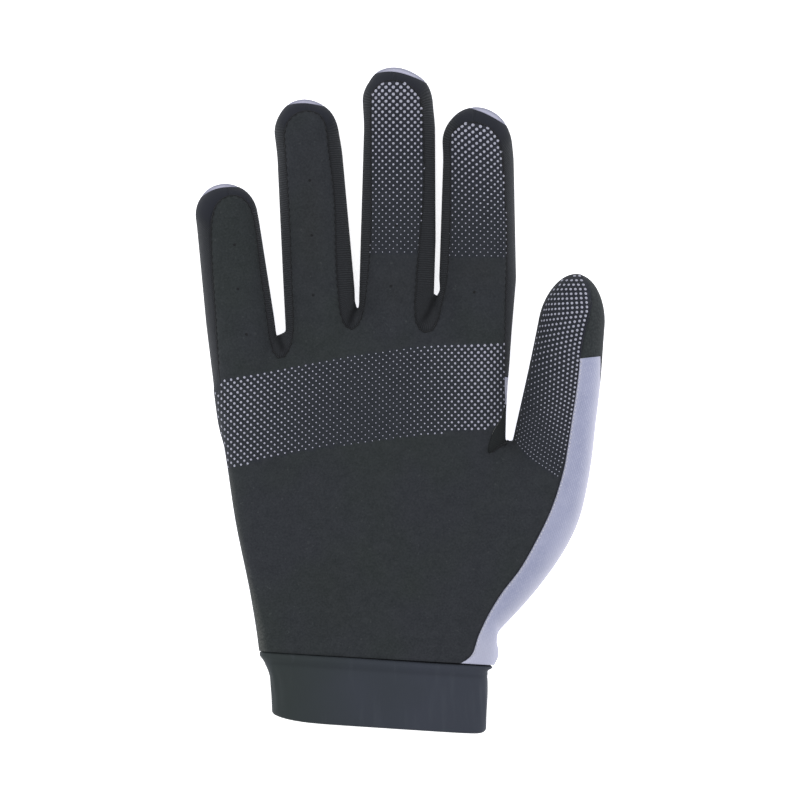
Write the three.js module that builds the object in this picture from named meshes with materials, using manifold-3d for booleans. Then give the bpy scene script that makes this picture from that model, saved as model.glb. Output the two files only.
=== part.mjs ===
// A full-finger cycling glove for the right hand, lying on its back with the palm up.
// Millimetres, +X to the thumb side, +Y to the fingertips, +Z up out of the palm.
// The origin is the middle of the bounding box's bottom face.
//
// The glove is one hollow cloth shell, made of an outer and an inner skin. Each skin is the union
// of a palm, four fingers and a thumb. Upright cutters along the seams part it into its panels.
import * as THREE from 'three';
import { mergeVertices } from 'three/addons/utils/BufferGeometryUtils.js';
import Module from 'manifold-3d';

const wasm = await Module();
wasm.setup();

// Driving dimensions
const HAND_LENGTH = 192;        // wrist seam to the tip of the middle finger
const PALM_LENGTH = 115.5;      // wrist seam to the highest crotch between two fingers
const PALM_WIDTH = 98;          // across the knuckles
const PALM_DEPTH = 24.4;        // palm side to back, at the palm
const TIP_DEPTH = 17.2;         // palm side to back, just before the fingertips
const FINGER_WIDTH = 24.4;      // a finger at its middle joint
const THUMB_WIDTH = 25.4;       // the thumb at its base
const WRIST_WIDTH = 75.6;        // across the wrist seam
const CUFF_LENGTH = 22.2;       // wrist seam to hem
const HEM_WIDTH = 69.6;         // across the hem
const CUFF_ROLL = 0.9;          // how far the cuff's rolled top edge stands out
const CLOTH = 1.2;              // wall of the sewn panels
const CUFF_WALL = 2;            // wall of the elastic cuff
const SEAM_INSET = 4.5;         // seam of a finger front, in from the finger's outline
const CROTCH_DROP = 6.8;        // crotch to the bottom of the U-shaped seam below it
const TIP_WRAP = 1.3;           // how far the back panel comes over a fingertip
const GUSSET_LENGTH = 13;       // web gusset, along the hand
const GUSSET_WIDTH = 5.6;       // web gusset, across the hand
const GUSSET_ACROSS = 0.445;    // its thumb side edge, share of the palm width
const SEAM_GAP = 0.3;           // clearance between two panels
const WRIST_SLOPE = 0.065;      // fall of the wrist seam and hem towards the thumb, mm per mm

// Proportions
const REST_SHARE = 0.94;        // height of the mid plane, as a share of the half depth
const PALM_ROUNDNESS = 4;       // superellipse exponent of the palm's section
const KNUCKLE_ROUND = 0.17;     // rounding before the crotches, share of the palm length
const CROTCH_BOW = 0.53;        // fall of the crotch line to the sides, share of the palm width
const CROTCH_CREST = 0.12;      // where that line is highest, share of the palm width

// Facets
const LIMB_SIDES = 16;
const PALM_SIDES = 32;
const TIP_STEPS = 4;
const SEAM_STEPS = 8;
const FINGER_STEPS = 4;
const THUMB_STEPS = 8;
const OUTLINE_STEPS = 6;
const KNUCKLE_STATIONS = [0.94, 0.97, 0.99, 1];
const FAR = 3 * HAND_LENGTH;    // well outside the glove, for cutters
const CUT_OUT = 2 * CLOTH;      // how far a cutter stands out from a finger's side
const OPEN_END = -0.1;          // start of the hollow below the wrist seam, share of the length

// The palm from the wrist seam up: centre and half width are shares of the palm width.
const PALM_ROWS = [
  { up: 0.00, centre: -0.002, half: 0.5 * WRIST_WIDTH / PALM_WIDTH },
  { up: 0.06, centre: -0.004, half: 0.397 },
  { up: 0.17, centre: -0.005, half: 0.408 },
  { up: 0.44, centre: -0.027, half: 0.440 },
  { up: 0.66, centre: -0.039, half: 0.462 },
  { up: 0.80, centre: -0.047, half: 0.474 },
  { up: 0.90, centre: -0.051, half: 0.485 },
  { up: 0.96, centre: -0.054, half: 0.482 },
  { up: 1.00, centre: -0.054, half: 0.450 },
];

// Fingers: the root is in shares of the palm's width and length, the reach is a share of the hand
// length, lean is degrees towards the little finger's side, widths and the length of the rounded
// tip are shares of the finger width. wrapSide leans the back panel's edge over the tip: -1 little
// finger's side, 1 thumb side.
const FINGERS = [
  { name: 'little', across: -0.419, up: 0.692, reach: 0.390, lean: 7.2,
    root: 0.930, joint: 0.910, tip: 0.800, tipLength: 0.41, wrapSide: -0.8 },
  { name: 'ring', across: -0.171, up: 0.736, reach: 0.505, lean: 3.96,
    root: 0.992, joint: 0.939, tip: 0.836, tipLength: 0.42, wrapSide: 0 },
  { name: 'middle', across: 0.061, up: 0.762, reach: 0.542, lean: -0.7,
    root: 1.057, joint: 1.008, tip: 0.922, tipLength: 0.46, wrapSide: 0.7 },
  { name: 'index', across: 0.328, up: 0.745, reach: 0.485, lean: -0.4,
    root: 0.787, joint: 1.026, tip: 0.905, tipLength: 0.46, wrapSide: 0.8 },
];
const JOINT_SHARE = 0.4;        // where along a finger the column joint is measured

// Thumb from inside the heel of the palm to the tip: shares of the palm's width and length, and
// the half width as a share of the thumb width.
const THUMB_ROWS = [
  { across: 0.225, up: 0.139, half: 0.63 },
  { across: 0.388, up: 0.268, half: 0.63 },
  { across: 0.510, up: 0.416, half: 0.63 },
  { across: 0.549, up: 0.519, half: 0.575 },
  { across: 0.567, up: 0.613, half: 0.556 },
  { across: 0.597, up: 0.670, half: 0.487 },
  { across: 0.618, up: 0.788, half: 0.469 },
  { across: 0.639, up: 0.918, half: 0.427 },
  { across: 0.666, up: 1.080, half: 0.39 },
];
const THUMB_TIP_LENGTH = 0.5;   // rounded tip, share of the thumb width

// Seam between the palm panel and the thumb's side, from the tip down to the wrist.
const THUMB_SEAM = [
  { across: 0.640, up: 1.180 },
  { across: 0.677, up: 1.072 },
  { across: 0.716, up: 1.008 },
  { across: 0.703, up: 0.937 },
  { across: 0.673, up: 0.847 },
  { across: 0.658, up: 0.726 },
  { across: 0.623, up: 0.585 },
  { across: 0.554, up: 0.411 },
  { across: 0.488, up: 0.290 },
  { across: 0.421, up: 0.186 },
  { across: 0.355, up: 0.079 },
  { across: 0.280, up: -0.050 },
];
const PATCH_UP = 0.847;         // lower edge of the thumb patch, share of the palm length
const PATCH_UNDER = 0.45;       // its lower edge under the thumb, share of the mid plane's height

// Ends of the side walls and the sliver of the back panel beside the index finger's root, as
// shares of the palm length, and the split between the palm and back panels at the edges.
const LITTLE_WALL_END = 0.728;
const LITTLE_WALL_FULL = 0.87;
const INDEX_WALL_END = 0.790;
const INDEX_WALL_FULL = 0.87;
const SLIVER_END = 0.684;
const SLIVER_WIDTH = 1.5;
const SLIVER_LIMIT = 0.448;     // its far side, short of the thumb, share of the palm width
const SPLIT_HEIGHT = 0.92 * REST_SHARE * TIP_DEPTH / 2;

// The back panel's end at each fingertip: where it begins on the palm side and on the back, as
// shares of the rounded tip, and how much of the finger's width it takes.
const WRAP_FROM = 0.35;
const UNDER_FROM = 0.1;
const WRAP_WIDTH = 0.8;
const ZONE_REACH = 1.5;         // a wedge between fingers, share of the fingers' lengths

const palmX = (share) => share * PALM_WIDTH;
const palmY = (share) => share * PALM_LENGTH;

// Straight-line reading of a table: the value of one column at a place along another.
function tableAt(rows, key, at, column) {
  const last = rows.length - 1;
  const place = Math.min(Math.max(at, rows[0][key]), rows[last][key]);
  const next = Math.max(1, rows.findIndex((row) => row[key] >= place));
  const low = rows[next - 1];
  const high = rows[next];
  const part = (place - low[key]) / (high[key] - low[key]);
  return low[column] + part * (high[column] - low[column]);
}

// Half the glove's depth at a place along the hand: deep at the palm, slim at the tips.
function halfDepth(y) {
  const ease = THREE.MathUtils.smoothstep(y, 0.3 * HAND_LENGTH, 0.9 * HAND_LENGTH);
  return (PALM_DEPTH + ease * (TIP_DEPTH - PALM_DEPTH)) / 2;
}

// A point of a skin: fill runs from -1 at the back through 0 at the outline to 1 at the palm side.
// The back is flat where it rests.
function skinPoint(x, y, fill, inset) {
  const z = REST_SHARE * halfDepth(y) + fill * (halfDepth(y) - inset);
  return new THREE.Vector3(x, y, Math.max(z, inset));
}

const wristLine = (x) => -WRIST_SLOPE * x;
const crotchLine = (x) => PALM_LENGTH
  - CROTCH_BOW * (x - palmX(CROTCH_CREST)) ** 2 / PALM_WIDTH;

// A closed manifold solid from a geometry.
function solidOf(geometry) {
  const bare = geometry.clone();
  bare.deleteAttribute('normal');
  bare.deleteAttribute('uv');
  const merged = mergeVertices(bare, 1e-5);
  return new wasm.Manifold(new wasm.Mesh({
    numProp: 3,
    vertProperties: new Float32Array(merged.attributes.position.array),
    triVerts: new Uint32Array(merged.index.array),
  }));
}

const joined = (solids) => solids.reduce((sum, solid) => sum.add(solid));

// A body through closed rings of equal count, each end closed by a fan unless its ring has
// collapsed to a point or an edge.
function loft(rings) {
  const count = rings[0].length;
  const points = rings.flat();
  const faces = [];
  for (let r = 0; r + 1 < rings.length; r += 1) {
    for (let i = 0; i < count; i += 1) {
      const a = r * count + i;
      const b = r * count + (i + 1) % count;
      faces.push(a, b, b + count, a, b + count, a + count);
    }
  }
  const end = (rings.length - 1) * count;
  for (let i = 1; i + 1 < count; i += 1) {
    faces.push(0, i + 1, i);
    faces.push(end, end + i, end + i + 1);
  }
  const geometry = new THREE.BufferGeometry().setFromPoints(points);
  geometry.setIndex(faces.filter((_, k) => {
    const t = k - (k % 3);
    const [p, q, s] = [faces[t], faces[t + 1], faces[t + 2]].map((n) => points[n]);
    return p.distanceTo(q) > 1e-4 && q.distanceTo(s) > 1e-4 && s.distanceTo(p) > 1e-4;
  }));
  return solidOf(geometry);
}

// An upright prism over a flat outline.
function prism(outline, low, high) {
  const geometry = new THREE.ExtrudeGeometry(new THREE.Shape(outline),
    { depth: high - low, bevelEnabled: false });
  geometry.translate(0, 0, low);
  return solidOf(geometry);
}

const slab = (low, high) => prism([
  new THREE.Vector2(-FAR, -FAR), new THREE.Vector2(FAR, -FAR),
  new THREE.Vector2(FAR, FAR), new THREE.Vector2(-FAR, FAR),
], low, high);

// The palm: rings across the hand, from the wrist seam to the crotch line.
function palmSkin(inset, start) {
  const round = KNUCKLE_ROUND;
  const body = PALM_ROWS.slice(1).map((row) => row.up).filter((up) => up < KNUCKLE_STATIONS[0]);
  const stations = [start, ...body, ...KNUCKLE_STATIONS];
  return loft(stations.map((up) => {
    const bend = Math.max(0, (up - 1 + round) / round);
    const swell = Math.sqrt(Math.max(0, 1 - bend * bend));
    const centre = palmX(tableAt(PALM_ROWS, 'up', up, 'centre'));
    const half = palmX(tableAt(PALM_ROWS, 'up', up, 'half')) - inset;
    return Array.from({ length: PALM_SIDES }, (_, i) => {
      const turn = 2 * Math.PI * (i + 0.5) / PALM_SIDES;
      const power = 2 / PALM_ROUNDNESS;
      const across = Math.sign(Math.cos(turn)) * Math.abs(Math.cos(turn)) ** power;
      const fill = Math.sign(Math.sin(turn)) * Math.abs(Math.sin(turn)) ** power;
      const x = centre + half * across;
      const y = wristLine(x) + up * (crotchLine(x) - inset - wristLine(x));
      return skinPoint(x, y, -fill * swell, inset);
    });
  }));
}

// A limb's plan: where its centre line runs and how wide it is, from 0 at the root to 1 at the
// tip. side is the unit vector to the thumb side of the centre line.
function fingerPlan(finger) {
  const root = new THREE.Vector2(palmX(finger.across), palmY(finger.up));
  const lean = THREE.MathUtils.degToRad(finger.lean);
  const along = new THREE.Vector2(-Math.sin(lean), Math.cos(lean));
  const side = new THREE.Vector2(Math.cos(lean), Math.sin(lean));
  const length = finger.reach * HAND_LENGTH;
  const widths = [
    { at: 0, half: finger.root * FINGER_WIDTH / 2 },
    { at: JOINT_SHARE, half: finger.joint * FINGER_WIDTH / 2 },
    { at: 1, half: finger.tip * FINGER_WIDTH / 2 },
  ];
  return {
    finger,
    length,
    tipLength: finger.tipLength * FINGER_WIDTH,
    half: (at) => tableAt(widths, 'at', at, 'half'),
    frame: (at) => ({ point: root.clone().addScaledVector(along, at * length), side, along }),
  };
}

function thumbPlan() {
  const curve = new THREE.CatmullRomCurve3(THUMB_ROWS.map((row) =>
    new THREE.Vector3(palmX(row.across), palmY(row.up), 0)), false, 'centripetal');
  const length = curve.getLength();
  const widths = THUMB_ROWS.map((row, i) =>
    ({ at: i / (THUMB_ROWS.length - 1), half: row.half * THUMB_WIDTH }));
  return {
    length,
    tipLength: THUMB_TIP_LENGTH * THUMB_WIDTH,
    half: (at) => tableAt(widths, 'at', at, 'half'),
    frame: (at) => {
      const point = curve.getPoint(at);
      const along = curve.getTangent(at);
      return {
        point: new THREE.Vector2(point.x, point.y),
        side: new THREE.Vector2(along.y, -along.x),
        along: new THREE.Vector2(along.x, along.y),
      };
    },
  };
}

// Stations of a limb: place along it, and how much of its width and depth is left there.
function limbStations(plan, steps, inset) {
  const tipStart = 1 - plan.tipLength / plan.length;
  const tipShare = (plan.tipLength - inset) / plan.length;
  const body = Array.from({ length: steps + 1 }, (_, i) => ({ at: tipStart * i / steps, left: 1 }));
  const tip = Array.from({ length: TIP_STEPS }, (_, i) => {
    const turn = Math.PI / 2 * (i + 1) / TIP_STEPS;
    return { at: tipStart + tipShare * Math.sin(turn), left: i + 1 < TIP_STEPS ? Math.cos(turn) : 0 };
  });
  return [...body, ...tip];
}

function limbSkin(plan, steps, inset) {
  return loft(limbStations(plan, steps, inset).map(({ at, left }) => {
    const { point, side } = plan.frame(at);
    const half = (plan.half(at) - inset) * left;
    return Array.from({ length: LIMB_SIDES }, (_, i) => {
      const turn = 2 * Math.PI * i / LIMB_SIDES;
      const spot = point.clone().addScaledVector(side, half * Math.cos(turn));
      return skinPoint(spot.x, spot.y, -left * Math.sin(turn), inset);
    });
  }));
}

// A limb's outline in plan, set in (or, with a negative inset, out) from its silhouette.
function limbOutline(plan, inset, shift = new THREE.Vector2()) {
  const stations = limbStations(plan, OUTLINE_STEPS, inset);
  const sideOf = (sign) => stations.map(({ at, left }) => {
    const { point, side } = plan.frame(at);
    return point.clone().addScaledVector(side, sign * (plan.half(at) - inset) * left).add(shift);
  });
  return [...sideOf(1), ...sideOf(-1).reverse().slice(1)];
}

const fingers = FINGERS.map(fingerPlan);
const thumb = thumbPlan();

function skin(inset, start) {
  return joined([
    palmSkin(inset, start),
    ...fingers.map((plan) => limbSkin(plan, FINGER_STEPS, inset)),
    limbSkin(thumb, THUMB_STEPS, inset),
  ]);
}
const shell = skin(0, 0).subtract(skin(CLOTH, OPEN_END));

// A finger's edge, seam or centre line at a height y: its x.
function fingerX(plan, y, share, inset) {
  const { point, along } = plan.frame(0);
  const at = (y - point.y) / along.y / plan.length;
  return plan.frame(at).point.x + share * (plan.half(at) - inset) / along.y;
}

// Each crotch between two neighbours: its place, and half the distance between their seams.
const crotches = fingers.slice(1).map((plan, i) => {
  const below = fingers[i];
  const guess = (below.frame(0.3).point.x + plan.frame(0.3).point.x) / 2;
  const y = crotchLine(guess);
  const left = fingerX(below, y, 1, SEAM_INSET);
  const right = fingerX(plan, y, -1, SEAM_INSET);
  const reach = (right - left) / 2;
  return { x: (left + right) / 2, y: y - CROTCH_DROP + reach, reach };
});

// The U of a fourchette at its crotch.
function crotchU(crotch, grow) {
  const radius = crotch.reach + grow;
  const arc = Array.from({ length: SEAM_STEPS + 1 }, (_, i) => {
    const turn = -Math.PI * i / SEAM_STEPS;
    return new THREE.Vector2(crotch.x + radius * Math.cos(turn), crotch.y + radius * Math.sin(turn));
  });
  const top = crotch.y + CROTCH_DROP + FINGER_WIDTH / 2;
  arc.push(new THREE.Vector2(crotch.x - radius, top), new THREE.Vector2(crotch.x + radius, top));
  return prism(arc, -FAR, FAR);
}

// The palm's area below the fingers, with the side walls' tapers at its left and right.
function palmArea(grow) {
  const little = fingers[0];
  const index = fingers[fingers.length - 1];
  const leftEnd = palmY(LITTLE_WALL_END);
  const rightEnd = palmY(INDEX_WALL_END);
  const leftFull = palmY(LITTLE_WALL_FULL);
  const rightFull = palmY(INDEX_WALL_FULL);
  return prism([
    new THREE.Vector2(-FAR, -FAR),
    new THREE.Vector2(FAR, -FAR),
    new THREE.Vector2(FAR, rightEnd + grow),
    new THREE.Vector2(fingerX(index, rightEnd, 1, 0), rightEnd + grow),
    new THREE.Vector2(fingerX(index, rightFull, 1, SEAM_INSET) + grow, rightFull),
    ...[...crotches].reverse().map((crotch) => new THREE.Vector2(crotch.x, crotch.y)),
    new THREE.Vector2(fingerX(little, leftFull, -1, SEAM_INSET) - grow, leftFull),
    new THREE.Vector2(fingerX(little, leftEnd, -1, 0), leftEnd + grow),
    new THREE.Vector2(-FAR, leftEnd + grow),
  ], -FAR, FAR);
}

// The side walls of all fingers: outside the fronts' seams, above the palm's area.
function sideWalls(grow) {
  const bands = joined([
    ...fingers.map((plan) => prism(limbOutline(plan, -CUT_OUT), -FAR, FAR)),
    ...crotches.map((crotch) => crotchU(crotch, grow)),
  ]);
  const fronts = joined(fingers.map((plan) =>
    prism(limbOutline(plan, SEAM_INSET + grow), -FAR, FAR)));
  const palm = crotches.reduce((area, crotch) => area.subtract(crotchU(crotch, grow)),
    palmArea(-grow));
  return bands.subtract(fronts).subtract(palm);
}

// The wedge between two fingers' centre lines, or outside the first or last one.
function wallZone(left, right) {
  const line = (plan, sign) => [0, ZONE_REACH].map((at) => {
    const { point, side } = plan.frame(at);
    return point.clone().addScaledVector(side, sign * SEAM_GAP / 2);
  });
  const [leftLow, leftHigh] = left ? line(left, 1)
    : [new THREE.Vector2(-FAR, 0), new THREE.Vector2(-FAR, FAR)];
  const [rightLow, rightHigh] = right ? line(right, -1)
    : [new THREE.Vector2(palmX(0.5), 0), new THREE.Vector2(palmX(0.5), FAR)];
  const low = new THREE.Vector2(rightLow.x, Math.min(leftLow.y, rightLow.y) - CROTCH_DROP);
  return prism([leftLow, low, rightLow, rightHigh, leftHigh], -FAR, FAR);
}

// The back panel's crescent over each fingertip, and its broad tip below the split.
function tipWraps(grow) {
  const shift = (plan) => new THREE.Vector2(-plan.finger.wrapSide, -1)
    .normalize().multiplyScalar(TIP_WRAP + grow);
  const crescents = fingers.map((plan) => {
    const outside = prism(limbOutline(plan, -CUT_OUT), 0, FAR);
    const inside = prism(limbOutline(plan, 0, shift(plan)), -FAR, 2 * FAR);
    return outside.subtract(inside).intersect(tipZone(plan, WRAP_FROM, grow, FAR));
  });
  const under = fingers.map((plan) =>
    tipZone(plan, UNDER_FROM, grow, SPLIT_HEIGHT + grow - SEAM_GAP));
  return joined([...crescents, ...under]);
}

// A finger's tip in plan, from a share of its rounded length on.
function tipZone(plan, share, grow, high) {
  const from = 1 - (plan.tipLength * (1 - share) + grow) / plan.length;
  const { point, side, along } = plan.frame(from);
  const wide = WRAP_WIDTH * plan.half(1) + grow;
  const corner = (across, up) => point.clone()
    .addScaledVector(side, across * wide).addScaledVector(along, up * plan.tipLength * 2);
  return prism([corner(-1, 0), corner(1, 0), corner(1, 1), corner(-1, 1)], -FAR, high);
}

// The seam along the thumb, as points from the tip to the wrist.
const thumbSeam = new THREE.CatmullRomCurve3(THUMB_SEAM.map((row) =>
  new THREE.Vector3(palmX(row.across), palmY(row.up), 0))).getPoints(SEAM_STEPS * 3)
  .map((point) => new THREE.Vector2(point.x, point.y));

// Everything on the thumb side of that seam.
function thumbBack(grow) {
  const seam = thumbSeam.map((point) => new THREE.Vector2(point.x - grow, point.y));
  const end = seam[seam.length - 1];
  return prism([
    ...seam, new THREE.Vector2(end.x, -FAR), new THREE.Vector2(FAR, -FAR),
    new THREE.Vector2(FAR, seam[0].y + FAR), new THREE.Vector2(seam[0].x, seam[0].y + FAR),
  ], -FAR, FAR);
}

function patchCutter(grow) {
  const low = palmY(PATCH_UP) - grow;
  const under = PATCH_UNDER * REST_SHARE * halfDepth(low) - grow;
  const box = prism([
    new THREE.Vector2(0, low), new THREE.Vector2(FAR, low),
    new THREE.Vector2(FAR, FAR), new THREE.Vector2(0, FAR),
  ], under, FAR);
  return thumbBack(grow).intersect(box);
}

// The strip of the back panel that shows beside the index finger's root.
function indexSliver(grow) {
  const index = fingers[fingers.length - 1];
  const low = palmY(SLIVER_END);
  const high = palmY(INDEX_WALL_END);
  const edge = (y) => fingerX(index, y, 1, 0) - SLIVER_WIDTH - grow;
  const right = palmX(SLIVER_LIMIT);
  return prism([
    new THREE.Vector2(edge(low), low), new THREE.Vector2(right, low),
    new THREE.Vector2(right, high + 1), new THREE.Vector2(edge(high), high + 1),
  ], 0, FAR);
}

// The leaf of cloth in the web between the index finger and the thumb.
function gussetCutter(grow) {
  const top = palmY(SLIVER_END) - SEAM_GAP;
  const low = top - GUSSET_LENGTH;
  const right = palmX(GUSSET_ACROSS);
  const corners = [
    new THREE.Vector2(right - GUSSET_WIDTH, low + GUSSET_LENGTH * 0.3),
    new THREE.Vector2(right - GUSSET_WIDTH * 0.2, low),
    new THREE.Vector2(right, low + GUSSET_LENGTH * 0.1),
    new THREE.Vector2(right, top),
    new THREE.Vector2(right - GUSSET_WIDTH * 0.4, top),
  ];
  const outline = corners.map((corner, i) => {
    const before = corners.at(i - 1);
    const after = corners[(i + 1) % corners.length];
    const into = corner.clone().sub(before).normalize();
    const away = after.clone().sub(corner).normalize();
    const lean = new THREE.Vector2(into.y + away.y, -into.x - away.x);
    return corner.clone().addScaledVector(lean, 2 * grow / lean.lengthSq());
  });
  return prism(outline, SPLIT_HEIGHT - grow, FAR);
}

// Panels
const upperHalf = slab(SPLIT_HEIGHT, FAR);
const lowerHalf = slab(-FAR, SPLIT_HEIGHT - SEAM_GAP);
const wallCut = sideWalls(SEAM_GAP);
const leaf = gussetCutter(SEAM_GAP);
const patch = patchCutter(SEAM_GAP);
const backExtra = (grow) => joined([thumbBack(grow), indexSliver(grow)]);

const panels = {
  palm_panel: shell.intersect(upperHalf).subtract(wallCut).subtract(backExtra(SEAM_GAP))
    .subtract(leaf),
  back_panel: shell.intersect(joined([lowerHalf, backExtra(0), tipWraps(0)]))
    .subtract(wallCut.subtract(tipWraps(0))).subtract(leaf).subtract(patch),
  thumb_patch: shell.intersect(patchCutter(0)),
  web_gusset: shell.intersect(gussetCutter(0)),
};
const walls = shell.intersect(sideWalls(0)).subtract(tipWraps(SEAM_GAP));
const [little, ring, middle, index] = fingers;
panels.outer_side_little = walls.intersect(wallZone(null, little));
panels.fourchette_little_ring = walls.intersect(wallZone(little, ring));
panels.fourchette_ring_middle = walls.intersect(wallZone(ring, middle));
panels.fourchette_middle_index = walls.intersect(wallZone(middle, index));
panels.outer_side_index = walls.intersect(wallZone(index, null));

// The cuff: an open tube below the wrist seam, with a rolled top edge.
function cuffSkin(inset, rows) {
  return loft(rows.map(({ down, half, roll }) => {
    const wide = half + roll * CUFF_ROLL - inset;
    return Array.from({ length: PALM_SIDES }, (_, i) => {
      const turn = 2 * Math.PI * (i + 0.5) / PALM_SIDES;
      const power = 2 / PALM_ROUNDNESS;
      const across = Math.sign(Math.cos(turn)) * Math.abs(Math.cos(turn)) ** power;
      const fill = Math.sign(Math.sin(turn)) * Math.abs(Math.sin(turn)) ** power;
      const x = palmX(PALM_ROWS[0].centre) + wide * across;
      const y = wristLine(x) - SEAM_GAP - down * (CUFF_LENGTH - SEAM_GAP);
      return skinPoint(x, y, fill * (1 + roll * CUFF_ROLL / halfDepth(0)), inset);
    });
  }));
}
const CUFF_ROWS = [
  { down: 0, half: WRIST_WIDTH / 2, roll: 0 },
  { down: 0.06, half: WRIST_WIDTH / 2, roll: 1 },
  { down: 0.16, half: 0.3 * WRIST_WIDTH / 2 + 0.7 * HEM_WIDTH / 2, roll: 0.2 },
  { down: 0.5, half: 0.2 * WRIST_WIDTH / 2 + 0.8 * HEM_WIDTH / 2, roll: 0 },
  { down: 1, half: HEM_WIDTH / 2, roll: 0 },
];
const CUFF_BORE = [
  { down: -0.2, half: WRIST_WIDTH / 2, roll: 0 },
  { down: 0.16, half: 0.3 * WRIST_WIDTH / 2 + 0.7 * HEM_WIDTH / 2, roll: 0 },
  { down: 1.2, half: HEM_WIDTH / 2, roll: 0 },
];
panels.cuff = cuffSkin(0, CUFF_ROWS).subtract(cuffSkin(CUFF_WALL, CUFF_BORE));

// Materials
const suede = new THREE.MeshStandardMaterial({ color: 0x34383a, roughness: 0.95 });
const ribKnit = new THREE.MeshStandardMaterial({ color: 0x24272b, roughness: 0.9 });
const lilacKnit = new THREE.MeshStandardMaterial({ color: 0xa3a8c6, roughness: 0.85 });
const microfibre = new THREE.MeshStandardMaterial({ color: 0x393c3f, roughness: 0.95 });
const elastic = new THREE.MeshStandardMaterial({ color: 0x3d414b, roughness: 0.75 });
const MATERIALS = {
  palm_panel: suede,
  back_panel: lilacKnit,
  thumb_patch: microfibre,
  web_gusset: microfibre,
  cuff: elastic,
};

const glove = new THREE.Group();
for (const [name, solid] of Object.entries(panels)) {
  const { vertProperties, triVerts } = solid.getMesh();
  const geometry = new THREE.BufferGeometry();
  geometry.setAttribute('position', new THREE.BufferAttribute(vertProperties, 3));
  geometry.setIndex(new THREE.BufferAttribute(triVerts, 1));
  const mesh = new THREE.Mesh(geometry, MATERIALS[name] ?? ribKnit);
  mesh.name = name;
  glove.add(mesh);
}
const box = new THREE.Box3().setFromObject(glove);
const middleOf = box.getCenter(new THREE.Vector3());
glove.position.set(-middleOf.x, -middleOf.y, -box.min.z);

export default glove;
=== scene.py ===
"""Full-finger cycling glove, palm up: suede palm with raised dots, ribbed side walls, lilac back.

Lengths are millimetres on the glove, with the origin on the wrist seam, +y to the fingertips and
+z up out of the palm; put_mesh brings them to metres in the part's frame.
"""

import math

import bmesh
import bpy
import numpy as np
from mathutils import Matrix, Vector
from mathutils.geometry import delaunay_2d_cdt


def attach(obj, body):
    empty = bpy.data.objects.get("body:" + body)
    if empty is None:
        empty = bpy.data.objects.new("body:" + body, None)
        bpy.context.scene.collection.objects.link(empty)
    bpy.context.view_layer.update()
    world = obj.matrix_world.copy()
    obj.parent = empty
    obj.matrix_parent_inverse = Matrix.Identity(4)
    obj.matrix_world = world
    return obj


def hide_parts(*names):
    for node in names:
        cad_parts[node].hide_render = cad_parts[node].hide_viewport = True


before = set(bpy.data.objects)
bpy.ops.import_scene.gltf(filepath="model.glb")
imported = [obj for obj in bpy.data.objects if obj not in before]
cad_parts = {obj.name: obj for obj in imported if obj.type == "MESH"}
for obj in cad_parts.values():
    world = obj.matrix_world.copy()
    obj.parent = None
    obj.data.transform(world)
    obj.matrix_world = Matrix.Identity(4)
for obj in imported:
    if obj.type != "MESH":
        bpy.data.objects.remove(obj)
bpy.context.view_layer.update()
scene = bpy.context.scene

# Sizes, as in the part's source
HAND_LENGTH = 192.0
PALM_LENGTH = 115.5
PALM_WIDTH = 98.0
PALM_DEPTH = 24.4
TIP_DEPTH = 17.2
FINGER_WIDTH = 24.4
THUMB_WIDTH = 25.4
WRIST_WIDTH = 75.6
HEM_WIDTH = 69.6
CUFF_LENGTH = 22.2
CUFF_ROLL = 0.9
CUFF_WALL = 2.0
SEAM_INSET = 4.5
WRIST_SLOPE = 0.065
REST_SHARE = 0.94
KNUCKLE_ROUND = 0.17
CROTCH_BOW = 0.53
CROTCH_CREST = 0.12

# What brings a place on the glove to the part's frame
TO_FRAME = np.array([-7.224, -83.812, 0.0])

# Cloth thickness, and how far the suede and what is printed on it stand proud of the seams
WALL_THICK = 0.9
PALM_THICK = 1.25
BACK_THICK = 1.0
PALM_PROUD = 0.12

# The palm from its wrist seam up: how far up, then the middle and half width across
PALM_ROWS = np.array([
    (0.00, -0.004, 0.389),
    (0.06, -0.004, 0.397),
    (0.17, -0.009, 0.410),
    (0.44, -0.029, 0.442),
    (0.66, -0.039, 0.462),
    (0.80, -0.047, 0.474),
    (0.90, -0.051, 0.485),
    (0.96, -0.054, 0.482),
    (1.00, -0.054, 0.450),
])
# Across and up at the root, reach, lean, widths at root, joint and tip, length of the round tip,
# and how far its end bends aside, first the tip and then its crown
FINGERS = [
    (-0.419, 0.692, 0.390, 7.2, 0.915, 0.910, 0.800, 0.41, 0.2, 0.3),
    (-0.171, 0.736, 0.505, 3.96, 0.992, 0.939, 0.836, 0.45, 0.65, 0.5),
    (0.061, 0.762, 0.542, -0.7, 1.057, 1.008, 0.922, 0.46, 0.8, 1.2),
    (0.328, 0.745, 0.485, -0.4, 0.787, 1.026, 0.905, 0.49, 0.6, 0.2),
]
# The thumb from its root: across, up and half width
THUMB_ROWS = np.array([
    (0.225, 0.139, 0.68),
    (0.388, 0.268, 0.63),
    (0.510, 0.416, 0.63),
    (0.562, 0.519, 0.525),
    (0.583, 0.613, 0.511),
    (0.594, 0.670, 0.495),
    (0.618, 0.788, 0.469),
    (0.639, 0.918, 0.427),
    (0.666, 1.080, 0.39),
])
THUMB_TIP_LENGTH = 0.5
ROOT_FALL = 0.55     # how fast a finger's fullness falls off below its root
BLEND = 26.0         # how closely the skin follows the fullest limb

# Places on the glove are read off its front view, in steps of 0.325 mm across and down
STEP = 0.325
WRIST_AT = (378.0, 658.0)


def place(points):
    """Front-view places to millimetres: across from the wrist's middle, up from its seam."""
    points = np.asarray(points, float)
    return (points - WRIST_AT) * (STEP, -STEP)


# Skin of the glove

def ease(value, low, high):
    """Smooth step from 0 at low to 1 at high."""
    t = np.clip((value - low) / (high - low), 0.0, 1.0)
    return t * t * (3.0 - 2.0 * t)


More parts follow.
